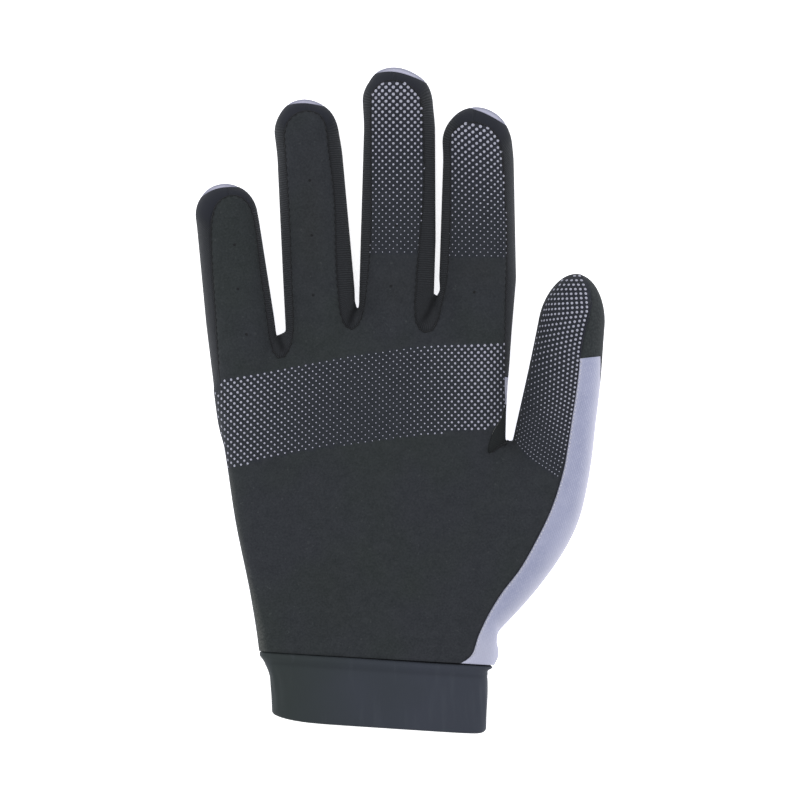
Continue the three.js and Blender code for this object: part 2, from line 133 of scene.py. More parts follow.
def through_rows(places, values, at):
    """Cubic through a table's rows, its slope at a row being that of the neighbouring rows."""
    slope = np.gradient(values, places)
    at = np.clip(at, places[0], places[-1])
    i = np.clip(np.searchsorted(places, at) - 1, 0, len(places) - 2)
    width = places[i + 1] - places[i]
    t = (at - places[i]) / width
    start = (1 + 2 * t) * (1 - t) ** 2 * values[i] + t * (1 - t) ** 2 * width * slope[i]
    end = t * t * (3 - 2 * t) * values[i + 1] - t * t * (1 - t) * width * slope[i + 1]
    return start + end


def kept_up(height, soft):
    """Holds a height above zero, which it nears in a soft curve."""
    return soft * np.logaddexp(0, height / soft)


def half_depth(y):
    """Half the glove's depth: deep at the palm, slim at the tips."""
    share = ease(y, 0.3 * HAND_LENGTH, 0.9 * HAND_LENGTH)
    return (PALM_DEPTH + share * (TIP_DEPTH - PALM_DEPTH)) / 2


def palm_fullness(x, y):
    """Square root of one less the fourth power of the share across, fading over the knuckles."""
    wrist = -WRIST_SLOPE * x
    crotch = PALM_LENGTH - CROTCH_BOW * (x - CROTCH_CREST * PALM_WIDTH) ** 2 / PALM_WIDTH
    up = (y - wrist) / (crotch - wrist)
    centre = PALM_WIDTH * through_rows(PALM_ROWS[:, 0], PALM_ROWS[:, 1], up)
    half = PALM_WIDTH * through_rows(PALM_ROWS[:, 0], PALM_ROWS[:, 2], up)
    across = 1 - ((x - centre) / half) ** 4
    bend = np.maximum(0, (up - 1 + KNUCKLE_ROUND) / KNUCKLE_ROUND)
    along = 1 - bend ** 2
    full = np.sqrt(np.maximum(across, 0)) * np.maximum(along, 0)
    return np.where((across > 0) & (along > 0), full, np.minimum(across, along))


def finger_fullness(finger, x, y):
    """One less the squares of the shares across the finger, along its round tip and root."""
    across, up, reach, lean, root, joint, tip, tip_length, bend, crown = finger
    lean = math.radians(lean)
    dx = x - across * PALM_WIDTH
    dy = y - up * PALM_LENGTH
    length = reach * HAND_LENGTH
    along = (-math.sin(lean) * dx + math.cos(lean) * dy) / length
    side = math.cos(lean) * dx + math.sin(lean) * dy
    side = side + bend * ease(along, 0.8, 0.92) + crown * ease(along, 0.95, 1.0)
    half = np.interp(along, (0, 0.4, 1), (root, joint, tip)) * FINGER_WIDTH / 2
    round_share = tip_length * FINGER_WIDTH / length
    over = np.maximum(0, (along - 1 + round_share) / round_share)
    under = np.maximum(0, -ROOT_FALL * along * length / half)
    return 1 - (side / half) ** 2 - over ** 2 - under ** 2


def nearest(points, line):
    """For each point the number of the nearest place on a line, and its distance squared."""
    numbers, squares = [], []
    for part in np.array_split(points, max(1, len(points) // 800)):
        away = ((part[:, None] - line) ** 2).sum(axis=2)
        numbers.append(away.argmin(axis=1))
        squares.append(away.min(axis=1))
    return np.concatenate(numbers), np.concatenate(squares)


def thumb_line():
    """Centre line of the thumb: a centripetal Catmull-Rom curve through its rows."""
    rows = THUMB_ROWS[:, :2] * (PALM_WIDTH, PALM_LENGTH)
    rows = np.vstack([2 * rows[0] - rows[1], rows, 2 * rows[-1] - rows[-2]])
    points = []
    at = []
    for i in range(len(rows) - 3):
        p0, p1, p2, p3 = rows[i:i + 4]
        d0, d1, d2 = (np.linalg.norm(b - a) ** 0.5 for a, b in ((p0, p1), (p1, p2), (p2, p3)))
        t = np.linspace(0, 1, 50, endpoint=i == len(rows) - 4)[:, None]
        m1 = (p1 - p0) / d0 - (p2 - p0) / (d0 + d1) + (p2 - p1) / d1
        m2 = (p2 - p1) / d1 - (p3 - p1) / (d1 + d2) + (p3 - p2) / d2
        points.append((2 * t ** 3 - 3 * t ** 2 + 1) * p1 + (t ** 3 - 2 * t ** 2 + t) * m1 * d1
                      + (3 * t ** 2 - 2 * t ** 3) * p2 + (t ** 3 - t ** 2) * m2 * d1)
        at.append((i + t[:, 0]) / (len(rows) - 3))
    return np.vstack(points), np.concatenate(at)


def evened(values, reach):
    """Running mean of a curve, three times over, its ends carried on straight."""
    for _ in range(3):
        start = values[0] - (values[1:reach + 1][::-1] - values[0])
        end = values[-1] - (values[-reach - 1:-1][::-1] - values[-1])
        wide = np.concatenate([start, values, end])
        total = np.cumsum(np.concatenate([np.zeros_like(wide[:1]), wide]), axis=0)
        values = (total[2 * reach + 1:] - total[:-2 * reach - 1]) / (2 * reach + 1)
    return values


THUMB_POINTS, THUMB_AT = thumb_line()
THUMB_POINTS = evened(THUMB_POINTS, 14)
THUMB_HALF = evened(THUMB_WIDTH * np.interp(
    THUMB_AT, np.linspace(0, 1, len(THUMB_ROWS)), THUMB_ROWS[:, 2]), 16)
THUMB_SPEED = np.gradient(THUMB_POINTS, THUMB_AT, axis=0)
THUMB_PACE = np.linalg.norm(THUMB_SPEED, axis=1)
THUMB_ALONG = THUMB_SPEED / THUMB_PACE[:, None]
THUMB_REACH = np.linalg.norm(np.diff(THUMB_POINTS, axis=0), axis=1).sum()


def thumb_fullness(x, y):
    """As on a finger, measured from the nearest place on the thumb's centre line."""
    spots = np.stack([x.ravel(), y.ravel()], axis=1)
    station = nearest(spots, THUMB_POINTS)[0]
    gap = spots - THUMB_POINTS[station]
    along = THUMB_ALONG[station]
    at = THUMB_AT[station] + (gap * along).sum(axis=1) / THUMB_PACE[station]
    side = gap[:, 0] * along[:, 1] - gap[:, 1] * along[:, 0]
    half = np.interp(at, THUMB_AT, THUMB_HALF)
    round_share = THUMB_TIP_LENGTH * THUMB_WIDTH / THUMB_REACH
    over = np.maximum(0, (at - 1 + round_share) / round_share)
    under = np.maximum(0, -at * THUMB_REACH / half)
    return (1 - (side / half) ** 2 - over ** 2 - under ** 2).reshape(x.shape)


def swell(centre, reach, top, x, y):
    """A round swelling: its top times one less the squares of the shares across and along it."""
    (cx, cy), (wide, tall) = place(centre), np.array(reach) * STEP
    return top * (1 - ((x - cx) / wide) ** 2 - ((y - cy) / tall) ** 2)


# Middle and reach on the front view, and the fullness at the middle
SWELLS = [
    ((508, 512), (54, 71), 1.0),
    ((487.5, 652.5), (11, 14), 0.35),
    ((448, 322), (16, 36), 0.45),
]


def fullness(x, y):
    """Soft largest of palm, fingers, thumb and the swellings: the web, the pucker at the wrist
    and a crotch. It is 1 on their middle lines and 0 at the outline."""
    limbs = [palm_fullness(x, y), thumb_fullness(x, y)]
    limbs += [finger_fullness(finger, x, y) for finger in FINGERS]
    limbs += [swell(*each, x, y) for each in SWELLS]
    total = sum(np.exp(BLEND * np.clip(limb, -3, 2)) for limb in limbs)
    return np.log(total) / BLEND


def relief(x, y):
    """Low folds and hollows of the palm side: long crossed waves, and creases at the thumb."""
    height = (0.16 * np.sin(x / 7.1 + 0.5 * np.sin(y / 13)) * np.sin(y / 9.3 + 1.1)
              + 0.11 * np.sin(x / 3.7 + y / 8.2) * np.sin(y / 5.1 - x / 11))
    fold = np.zeros_like(x)
    for start, end, wide, deep, bow in FOLDS:
        (ax, ay), (dx, dy) = place(start), place(end) - place(start)
        length = math.hypot(dx, dy)
        t = ((x - ax) * dx + (y - ay) * dy) / length ** 2
        side = ((x - ax) * dy - (y - ay) * dx) / length + bow * np.sin(t * 3.1)
        ends = ease(t, -0.05, 0.3) * ease(-t, -1.05, -0.7)
        fold += deep * ends * np.exp(-(side / wide) ** 2)
    return height + fold


# Where each fold starts and ends, its half width, its height and how far it bows, in mm
FOLDS = [
    ((404, 650), (468, 470), 5.0, -0.55, 0.8),
    ((440, 652), (500, 500), 4.0, 0.45, 0.8),
    ((330, 640), (286, 470), 6.0, -0.35, 0.8),
    ((300, 420), (420, 400), 3.0, -0.25, 0.8),
    ((470, 560), (516, 478), 2.2, -0.4, 0.8),
    ((512, 438), (483, 458), 1.3, -1.3, 0.0),
]


def top_height(x, y, full=None):
    """Height of the palm side: the mid plane plus half the depth by the root of fullness."""
    full = np.maximum(fullness(x, y) if full is None else full, 0)
    half = half_depth(y)
    return REST_SHARE * half + half * np.sqrt(full) + relief(x, y) * np.clip(2 * full, 0, 1)


def back_height(x, y, full=None):
    """Height of the back: the mirror image, flattened softly where it rests."""
    full = np.maximum(fullness(x, y) if full is None else full, 0)
    half = half_depth(y)
    return kept_up(REST_SHARE * half - half * np.sqrt(full), 0.4)


def top_frame(x, y):
    """Place and outward normal on the palm side, from the slopes over a tenth of a millimetre."""
    small = 0.05
    slope_x = (top_height(x + small, y) - top_height(x - small, y)) / (2 * small)
    slope_y = (top_height(x, y + small) - top_height(x, y - small)) / (2 * small)
    normal = np.stack([-slope_x, -slope_y, np.ones_like(x)], axis=-1)
    normal /= np.linalg.norm(normal, axis=-1, keepdims=True)
    return np.stack([x, y, top_height(x, y)], axis=-1), normal


# The seam round the palm panel, clockwise from the wrist: each place with what its side faces
AIM_REACH = 34.0     # from the middle of a fingertip to the places that its seam faces


def sideways(step, points):
    """Faces a fixed way."""
    return [(x, y, x + step[0], y + step[1]) for x, y in points]


def away_from(centre, points):
    """Faces away from the middle of a fingertip."""
    rows = []
    for x, y in points:
        dx, dy = x - centre[0], y - centre[1]
        reach = AIM_REACH / math.hypot(dx, dy)
        rows.append((x, y, x + dx * reach, y + dy * reach))
    return rows


def toward_gap(low, high, points, lead=6.0):
    """Faces the nearest place on the line up a gap, and never below its crotch."""
    dx, dy = high[0] - low[0], high[1] - low[1]
    length = math.hypot(dx, dy)
    rows = []
    for x, y in points:
        up = max(lead, ((x - low[0]) * dx + (y - low[1]) * dy) / length)
        rows.append((x, y, low[0] + dx * up / length, low[1] + dy * up / length))
    return rows


SEAM = np.array(
    sideways((-50, -3.25), [(274, 651.2)])
    + sideways((-50, 8), [(270, 622), (264, 587), (256.5, 547), (248.5, 507), (242, 470),
                          (235.5, 438), (229, 412), (222.5, 390)])
    + sideways((-50, 6.5), [(219.6, 368), (217.6, 340), (215.8, 310), (213.8, 284), (212.2, 256),
                            (211.8, 236)])
    + away_from((231, 222), [(213, 217), (217, 205.5), (224, 198.5), (233, 196), (241.5, 198),
                             (248.5, 205), (253, 216)])
    + toward_gap((279, 335), (262, 190), [
        (255.7, 230), (258.5, 252), (260.5, 272), (264.4, 297), (267.6, 322), (270.9, 343),
        (274.5, 353), (279.6, 358.3), (285.5, 356), (290, 348.5), (293, 337), (293.8, 316),
        (292.6, 290), (291.4, 262), (290.4, 230), (288, 190), (285.5, 150)])
    + away_from((306, 137), [(284.8, 133), (288.5, 122), (296.5, 114.3), (307.5, 111.6),
                             (318, 114.5), (324.3, 122), (327, 134)])
    + toward_gap((355.2, 307), (349, 120), [
        (329, 152), (332.5, 180), (334.7, 205), (335.4, 232), (336.3, 265), (338.5, 295),
        (341.2, 316), (345, 325.5), (351, 329.5), (357, 326.5), (361, 319), (364.3, 307),
        (366.5, 290), (369.3, 262), (371.2, 225), (371.2, 180), (371, 135), (371, 108)])
    + away_from((397, 112), [(372.2, 95), (376.5, 87.8), (383, 83), (392, 81), (401.6, 82.8),
                             (410.3, 87.3), (417, 93.6), (420.8, 103)])
    + toward_gap((433.8, 300), (438.8, 140), [
        (421.7, 115), (423.3, 140), (423.8, 170), (423.3, 195), (420.8, 225), (418, 255),
        (415.9, 285), (414.8, 312), (417.3, 326), (423.5, 332.3), (431.5, 330.8),
        (437.3, 321.5), (441.6, 305), (445.5, 287), (448.3, 263), (449.8, 232), (450.4, 190),
        (450.4, 160)])
    + away_from((476, 150), [(450.3, 141), (453, 131.8), (458.5, 127), (465.5, 124),
                             (473.2, 122.9), (481.8, 124.8), (490.5, 129.2), (496.8, 137),
                             (500, 148)])
    + toward_gap((511, 441.5), (531, 300), [
        (503, 168), (504.6, 195), (506.2, 223), (506.3, 262), (505, 306), (504.5, 338),
        (503.9, 368), (503.6, 388), (503.9, 404), (500, 419), (492.5, 432), (489, 453.5),
        (500, 453), (512, 450), (524, 441), (535, 418), (543, 385), (549.5, 350), (556.5, 320)],
        3.0)
    + away_from((574, 316), [(561.5, 305), (566.5, 297), (572, 292), (577.5, 290.5),
                             (583.5, 291.5), (588.3, 295.5), (590.8, 301)])
    + [(589, 310, 625, 304), (584, 329, 625, 324), (580, 347, 625, 341.5),
       (579, 357.5, 625, 352), (578, 369, 622, 367), (575, 393, 620, 400),
       (570, 425, 616, 438), (566.5, 448, 612, 463), (563.6, 465, 608, 482),
       (559.8, 480, 604, 500), (549.5, 510.6, 594, 537), (536.5, 537.7, 581, 567),
       (518, 570, 563, 603), (501.8, 591, 546, 627), (488.8, 612, 536, 640),
       (478, 634.3, 530, 653), (469.8, 655, 525, 663.5), (460.5, 662, 530, 667)])

STATION = 0.8        # between places along the seam


def run_along(points):
    """The length of a line up to each of its points."""
    return np.concatenate([[0], np.cumsum(np.linalg.norm(np.diff(points, axis=0), axis=1))])


def along_line(at, run, line):
    """Places on a line, given at lengths along it, straight from one to the next."""
    return np.stack([np.interp(at, run, line[:, k]) for k in (0, 1)], axis=1)


def seam_stations():
    """Even places along a cubic through the seam's points, with what each one faces."""
    points = place(SEAM[:, :2])
    aims = place(SEAM[:, 2:])
    run = run_along(points)
    fine = np.linspace(0, run[-1], int(run[-1] / STATION) + 1)
    at = np.unique(np.concatenate([fine, run[GUSSET_POINT:GUSSET_POINT + 1]]))
    spots = np.stack([through_rows(run, points[:, k], at) for k in (0, 1)], axis=1)
    return spots, along_line(at, run, aims)


GUSSET_POINT = int(np.argmin(np.hypot(SEAM[:, 0] - 489, SEAM[:, 1] - 453.5)))
SEAM_AT, SEAM_FACES = seam_stations()
COUNT = len(SEAM_AT)


def outline_places():
    """Where each station's line first leaves the glove: stepped out, then halved thirty times."""
    way = SEAM_FACES - SEAM_AT
    steps = np.linspace(0, 1, 60)
    spots = SEAM_AT + steps[:, None, None] * way
    out = fullness(spots[..., 0], spots[..., 1]) < 0
    first = np.where(out.any(axis=0), out.argmax(axis=0), len(steps) - 1)
    high = steps[first]
    low = steps[np.maximum(first - 1, 0)]
    for _ in range(30):
        mid = (low + high) / 2
        spot = SEAM_AT + mid[:, None] * way
        held = fullness(*spot.T) > 0
        low = np.where(held, mid, low)
        high = np.where(held, high, mid)
    return SEAM_AT + low[:, None] * way


OUTLINE = outline_places()
INSET = np.maximum(np.linalg.norm(SEAM_AT - OUTLINE, axis=1), 1e-3)
BACK_SEAM = OUTLINE + (SEAM_AT - OUTLINE) * np.minimum(1, SEAM_INSET / INSET)[:, None]
RUN = run_along(SEAM_AT)


def near(x, y):
    """Number of the station nearest to a front-view place."""
    return int(np.argmin(np.linalg.norm(SEAM_AT - place((x, y)), axis=1)))


def band(i, v):
    """Places on the side of the glove: v runs from 0 at the palm's seam over 0.5 at the outline,
    where the rows crowd, to 1 at the back seam."""
    front = v <= 0.5
    w = np.where(front, 2 * v, 2 * v - 1)
    share = np.where(front, 1 - (1 - w) ** 2, w * w)[..., None]
    start = np.where(front[..., None], SEAM_AT[i], OUTLINE[i])
    end = np.where(front[..., None], OUTLINE[i], BACK_SEAM[i])
    spot = start + share * (end - start)
    x, y = spot[..., 0], spot[..., 1]
    full = np.maximum(fullness(x, y), 0)
    full = np.where(np.abs(v - 0.5) < 1e-6, 0, full)
    z = np.where(front, top_height(x, y, full), back_height(x, y, full))
    return np.stack([x, y, z], axis=-1)


def across_share(share):
    """The v of a place that lies a share of the way from the palm's seam to the outline."""
    return 0.5 * (1 - np.sqrt(np.clip(1 - share, 0, 1)))


# Mesh making

def grid_faces(rows, columns, closed=False):
    """Quads of a grid, numbered row by row; closed joins the last row to the first."""
    i = np.arange(rows if closed else rows - 1)[:, None]
    j = np.arange(columns - 1)[None, :]
    a = i * columns + j
    b = ((i + 1) % rows) * columns + j
    return np.stack([a, b, b + 1, a + 1], axis=-1).reshape(-1, 4)


def strip(first, last, start, end, rows):
    """A part of the side between two stations, and between two v's given along them."""
    i = np.arange(first, last + 1)
    t = np.linspace(0, 1, rows)
    low = np.broadcast_to(np.asarray(start, float), i.shape)[:, None]
    high = np.broadcast_to(np.asarray(end, float), i.shape)[:, None]
    v = low + t * (high - low)
    points = band(np.broadcast_to(i[:, None], v.shape), v)
    return points.reshape(-1, 3), grid_faces(len(i), rows)


def inside(polygon, points):
    """Even-odd test: a ray to the right crosses the polygon's edges an odd number of times."""
    a = polygon
    b = np.roll(polygon, -1, axis=0)
    odd = np.zeros(len(points), bool)
    for part in np.array_split(np.arange(len(points)), max(1, len(points) // 2000)):
        x, y = points[part, 0][:, None], points[part, 1][:, None]
        spans = (a[:, 1] > y) != (b[:, 1] > y)
        rise = np.where(b[:, 1] == a[:, 1], 1e-9, b[:, 1] - a[:, 1])
        cross = a[:, 0] + (y - a[:, 1]) / rise * (b[:, 0] - a[:, 0])
        odd[part] = (spans & (x < cross)).sum(axis=1) % 2 == 1
    return odd


def sheet_inside(edge, height, pitch, up):
    """A cloth sheet within a seam: triangles over hexagonal points, lifted to a height."""
    low, high = edge.min(axis=0), edge.max(axis=0)
    across = np.arange(low[0], high[0], pitch)
    along = np.arange(low[1], high[1], pitch * 0.866)
    x, y = np.meshgrid(across, along)
    x = x + pitch / 2 * (np.arange(len(along)) % 2)[:, None]
    points = np.stack([x.ravel(), y.ravel()], axis=1)
    points = points[inside(edge, points)]
    clear = 0.55 * pitch
    points = points[nearest(points, edge)[1] > clear ** 2]
    spots = np.vstack([edge, points])
    count = len(edge)
    sides = [(i, (i + 1) % count) for i in range(count)]
    made = delaunay_2d_cdt([Vector(spot) for spot in spots], sides, [], 1, 1e-6)
    flat = np.array([tuple(v) for v in made[0]])
    faces = np.array([list(f) for f in made[2]])
    a, b, c = (flat[faces[:, k]] for k in range(3))
    area = (b - a)[:, 0] * (c - a)[:, 1] - (b - a)[:, 1] * (c - a)[:, 0]
    turned = (area < 0) if up else (area > 0)
    faces[turned] = faces[turned][:, ::-1]
    x, y = flat[:, 0], flat[:, 1]
    return np.stack([x, y, height(x, y)], axis=1), faces


def joined(*parts):
    """Several lists of points and faces as one."""
    points, faces, start = [], [], 0
    for spots, corners in parts:
        points.append(spots)
        faces += (np.asarray(corners) + start).tolist()
        start += len(spots)
    return np.vstack(points), faces


def put_mesh(name, parts, merge=True):
    """A mesh object from millimetre points, with points that meet made one."""
    points, faces = parts
    mesh = bpy.data.meshes.new(name)
    mesh.from_pydata(((points + TO_FRAME) / 1000).tolist(), [], [list(f) for f in faces])
    if merge:
        work = bmesh.new()
        work.from_mesh(mesh)
        bmesh.ops.remove_doubles(work, verts=work.verts, dist=2e-6)
        bmesh.ops.dissolve_degenerate(work, edges=work.edges, dist=1e-7)
        work.to_mesh(mesh)
        work.free()
    mesh.polygons.foreach_set("use_smooth", np.ones(len(mesh.polygons), bool))
    mesh.update()
    made = bpy.data.objects.new(name, mesh)
    scene.collection.objects.link(made)
    return made


def mesh_places(thing):
    """A piece's points in millimetres on the glove."""
    flat = np.empty(len(thing.data.vertices) * 3)
    thing.data.vertices.foreach_get("co", flat)
    return flat.reshape(-1, 3) * 1000 - TO_FRAME


def give(thing, **marks):
    """Stores marks of one number, or three, for each point of a piece."""
    for name, values in marks.items():
        kind, key = ("FLOAT", "value") if values.ndim == 1 else ("FLOAT_VECTOR", "vector")
        thing.data.attributes.new(name, kind, "POINT").data.foreach_set(key, values.ravel())


def cloth(thing, thick, proud=0.0):
    """Gives a sheet its thickness, inwards but for the part that stands proud."""
    shell = thing.modifiers.new("cloth", "SOLIDIFY")
    shell.thickness = thick / 1000
    shell.offset = 2 * proud / thick - 1
    shell.use_rim = True


def off_line(points, line):
    """Distance in plan from each point to the nearest place on a line."""
    return np.sqrt(nearest(points[:, :2], line)[1])


def finish_piece(thing, material, node):
    """Material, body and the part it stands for."""
    thing.data.materials.append(material)
    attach(thing, "root")
    if node:
        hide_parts(node)


# Finishes

def sheen_cloth(name, rough, sheen, tint):
    """A rough principled surface with the soft sheen of short fibres."""
    material = bpy.data.materials.new(name)
    material.use_nodes = True
    tree = material.node_tree
    surface = tree.nodes["Principled BSDF"]
    surface.inputs["Roughness"].default_value = rough
    surface.inputs["Specular IOR Level"].default_value = 0.1
    surface.inputs["Sheen Weight"].default_value = sheen
    surface.inputs["Sheen Roughness"].default_value = 0.6
    surface.inputs["Sheen Tint"].default_value = (*tint, 1)
    return material, tree, surface


LIGHT_SHARE = 0.80   # a cloth's own brightness, as a share of its brightness in this light


def linear(red, green, blue):
    """A colour from 0 to 255 a channel, made linear."""
    share = np.array([red, green, blue]) / 255
    low = share / 12.92
    high = ((share + 0.055) / 1.055) ** 2.4
    return tuple(np.where(share < 0.04045, low, high) * LIGHT_SHARE) + (1.0,)


def node(tree, kind, inputs=None, **settings):
    """Adds a node, its settings, and what each input takes: a number, colour or socket."""
    made = tree.nodes.new(kind)
    for key, value in settings.items():
        setattr(made, key, value)
    for key, value in (inputs or {}).items():
        if isinstance(value, bpy.types.NodeSocket):
            tree.links.new(value, made.inputs[key])
        else:
            made.inputs[key].default_value = value
    return made


def noise(tree, scale, detail=3.0, rough=0.55, stretch=None):
    """Noise on the piece's own metres, with a grain size of about one over scale."""
    where = node(tree, "ShaderNodeTexCoord").outputs["Object"]
    if stretch:
        where = node(tree, "ShaderNodeMapping", {0: where, "Scale": stretch}).outputs[0]
    made = node(tree, "ShaderNodeTexNoise",
                {"Vector": where, "Scale": scale, "Detail": detail, "Roughness": rough})
    return made.outputs["Fac"]


def mix(tree, share, low, high):
    """Blends two colours, sockets or channels of 0 to 255, by a share or an attribute."""
    share = attribute(tree, share) if isinstance(share, str) else share
    low, high = (linear(*side) if isinstance(side, tuple) else side for side in (low, high))
    return node(tree, "ShaderNodeMix", {0: share, 6: low, 7: high}, data_type="RGBA").outputs[2]


def layered(tree, base, *rows):
    """Lays colours over a base in turn, each with the share that goes before it."""
    for share, colour in rows:
        base = mix(tree, share, base, colour)
    return base


def object_place(tree):
    """The piece's own place across and up, in metres."""
    where = node(tree, "ShaderNodeTexCoord").outputs["Object"]
    return node(tree, "ShaderNodeSeparateXYZ", {0: where}).outputs[:2]


def spread(tree, value, low, high, bottom=0.0, top=1.0):
    """Maps low to high onto bottom to top, clamped."""
    made = node(tree, "ShaderNodeMapRange", {0: value, 1: low, 2: high, 3: bottom, 4: top})
    return made.outputs[0]


def mottle(tree, low, high, scale, detail=3.0, rough=0.55):
    """Noise with its low and its high brought to 0 and 1."""
    return spread(tree, noise(tree, scale, detail, rough), low, high)


def attribute(tree, name, output="Fac"):
    """Reads a number stored on the piece's points."""
    return node(tree, "ShaderNodeAttribute", attribute_name=name).outputs[output]


def arithmetic(tree, kind, first, second):
    """One sum, product or wave of two values."""
    return node(tree, "ShaderNodeMath", {0: first, 1: second}, operation=kind).outputs[0]


def times(tree, first, second):
    """The product of two values."""
    return arithmetic(tree, "MULTIPLY", first, second)


def wave(tree, run, length):
    """A sine along a run, with a wave length."""
    return arithmetic(tree, "SINE", times(tree, run, 2 * math.pi / length), 0.0)


def dress(tree, surface, base, height, depth, strength):
    """Gives a surface its colour, and relief from a height of 0 to 1 with a depth in metres."""
    made = node(tree, "ShaderNodeBump", {"Height": height, "Distance": depth,
                                         "Strength": strength})
    tree.links.new(base, surface.inputs["Base Color"])
    tree.links.new(made.outputs[0], surface.inputs["Normal"])


def suede_finish():
    """Charcoal suede: slow green to blue blotches, navy under the dots, painted shade on the
    fingers where their nap looks dim in this light, and a painted sheen of the nap along the
    outline, widest and palest at the heel."""
    material, tree, surface = sheen_cloth("charcoal_suede", 0.95, 0.04, (0.75, 0.8, 0.85))
    slow = mottle(tree, 0.38, 0.62, 34.0, 2.0)
    cloudy = mottle(tree, 0.3, 0.7, 260.0, 4.0, 0.6)
    fine = mottle(tree, 0.3, 0.7, 1500.0, 4.0, 0.7)
    fleck = mottle(tree, 0.68, 0.76, 760.0, 2.0, 0.5)
    base = layered(
        tree, mix(tree, slow, (44, 50, 50), (47, 49, 57)),
        # painted shade where the nap looks dim
        ("shade", (42, 42, 44)),
        ("printed", (40, 43, 54)),
        ("navy", (36, 37, 54)),
        (0.35, mix(tree, cloudy, (35, 39, 40), (56, 59, 62))),
        # painted sheen of the nap along the outline
        ("rim", mix(tree, fine, (52, 55, 54), (116, 118, 114))),
        (0.3, mix(tree, fine, (30, 33, 35), (70, 73, 76))),
        (times(tree, fleck, 0.16), (100, 104, 104)))
    dress(tree, surface, base, noise(tree, 1100.0, 5.0, 0.65), 0.00022, 0.6)
    return material


def rib_finish(name, pitch, slant, dark, light, rim_sheen_share):
    """Ribbed knit: rounded ribs across the strip at a pitch in millimetres, broken by noise and
    smoothed out at the fingertips. The light rib colour is a painted highlight on their crests,
    clearest at the outline, where a painted sheen also lies, and painted shade runs down the
    crotch creases."""
    material, tree, surface = sheen_cloth(name, 0.88, 0.05, (0.8, 0.85, 0.9))
    where = attribute(tree, "cloth_place", "Vector")
    parts = node(tree, "ShaderNodeSeparateXYZ", {0: where})
    turned = times(tree, parts.outputs[1], slant)
    wander = times(tree, noise(tree, 170.0, 2.0), 1.3 * pitch)
    along = arithmetic(tree, "ADD", parts.outputs[0], arithmetic(tree, "ADD", turned, wander))
    rib = spread(tree, wave(tree, along, pitch), -1.0, 1.0)
    speckle = spread(tree, noise(tree, 1300.0, 3.0, 0.6), 0.3, 0.65, 0.5, 1.0)
    ribbed = spread(tree, attribute(tree, "plain"), 0.0, 1.0, 1.0, 0.0)
    rib = times(tree, times(tree, rib, speckle), ribbed)
    # painted sheen at the outline: the rim mark makes the ribs' painted highlight clearer and
    # lighter
    clear = spread(tree, attribute(tree, "rim"), 0.0, 1.0, 0.45, 1.0)
    lit = times(tree, times(tree, attribute(tree, "rim"), rim_sheen_share), ribbed)
    # the light rib colour is a painted highlight on the rib crests
    base = layered(
        tree, mix(tree, times(tree, rib, clear), dark, light),
        (lit, mix(tree, rib, (52, 54, 57), (106, 108, 114))),
        ("plain", (38, 40, 48)),
        # painted shade down the crotch creases
        ("deep", (20, 21, 24)))
    dress(tree, surface, base, rib, 0.00016, 0.4)
    return material


def lilac_finish():
    """Lilac knit: fine leaning wales broken by noise, cloudy tone, a painted highlight where it
    turns over the edge, paler at the wrist and along the seam, and painted shade over the
    fingertip caps, deepest at the outline, with a painted highlight along their inner edge."""
    material, tree, surface = sheen_cloth("lilac_knit", 0.8, 0.3, (0.85, 0.86, 1.0))
    across, up = object_place(tree)
    wander = times(tree, noise(tree, 240.0, 2.0), 0.0009)
    lean = arithmetic(tree, "ADD", times(tree, up, 0.35), wander)
    wale = wave(tree, arithmetic(tree, "ADD", across, lean), 0.00074)
    course = wave(tree, arithmetic(tree, "SUBTRACT", up, times(tree, across, 0.5)), 0.0009)
    knit = spread(tree, arithmetic(tree, "ADD", wale, times(tree, course, 0.6)), -1.6, 1.6)
    broken = mottle(tree, 0.3, 0.7, 900.0, 3.0, 0.6)
    knit = times(tree, knit, broken)
    cloud = mottle(tree, 0.35, 0.65, 90.0, 3.0)
    base = layered(
        tree, mix(tree, cloud, (149, 154, 184), (162, 166, 195)),
        # painted highlight where the lilac turns over the edge
        ("rim", (203, 203, 219)),
        ("wrist", (180, 182, 204)),
        (times(tree, knit, 0.5), (192, 195, 216)),
        ("hem", (206, 208, 228)),
        # painted shade over the fingertip caps, deepest at the outline, with a painted highlight
        # along their inner edge
        ("tip", mix(tree, "inner", (106, 108, 128), (176, 176, 198))))
    dress(tree, surface, base, knit, 0.00014, 0.6)
    return material


def microfibre_finish():
    """Plain dark microfibre with a fine brushed grain."""
    material, tree, surface = sheen_cloth("dark_microfibre", 0.9, 0.04, (0.8, 0.82, 0.85))
    fine = mottle(tree, 0.3, 0.7, 1300.0, 4.0, 0.65)
    base = mix(tree, fine, (37, 41, 44), (59, 63, 65))
    dress(tree, surface, base, noise(tree, 1000.0, 4.0, 0.6), 0.0002, 0.5)
    return material


def elastic_finish():
    """Smooth navy-charcoal elastic: slow tone across it, faint upright strain lines, dark under
    the palm's edge with painted shade in the fold's groove, and painted light along its sides.
    """
    material, tree, surface = sheen_cloth("cuff_elastic", 0.75, 0.03, (0.8, 0.85, 0.95))
    slow = mottle(tree, 0.36, 0.64, 28.0, 2.0)
    left = spread(tree, object_place(tree)[0], -0.012, -0.036)
    line = noise(tree, 300.0, 3.0, 0.6, stretch=(1.0, 0.12, 1.0))
    base = layered(
        tree, mix(tree, slow, (54, 59, 65), (59, 63, 73)),
        (left, (51, 57, 58)),
        (times(tree, spread(tree, line, 0.55, 0.75), 0.3), (72, 77, 85)),
        # dark under the palm's edge, with painted shade in the fold's groove
        ("seam", (24, 26, 31)),
        # painted light along the cuff's sides
        (times(tree, attribute(tree, "rim"), 0.5), (88, 93, 102)))
    dress(tree, surface, base, line, 0.0004, 0.5)
    return material


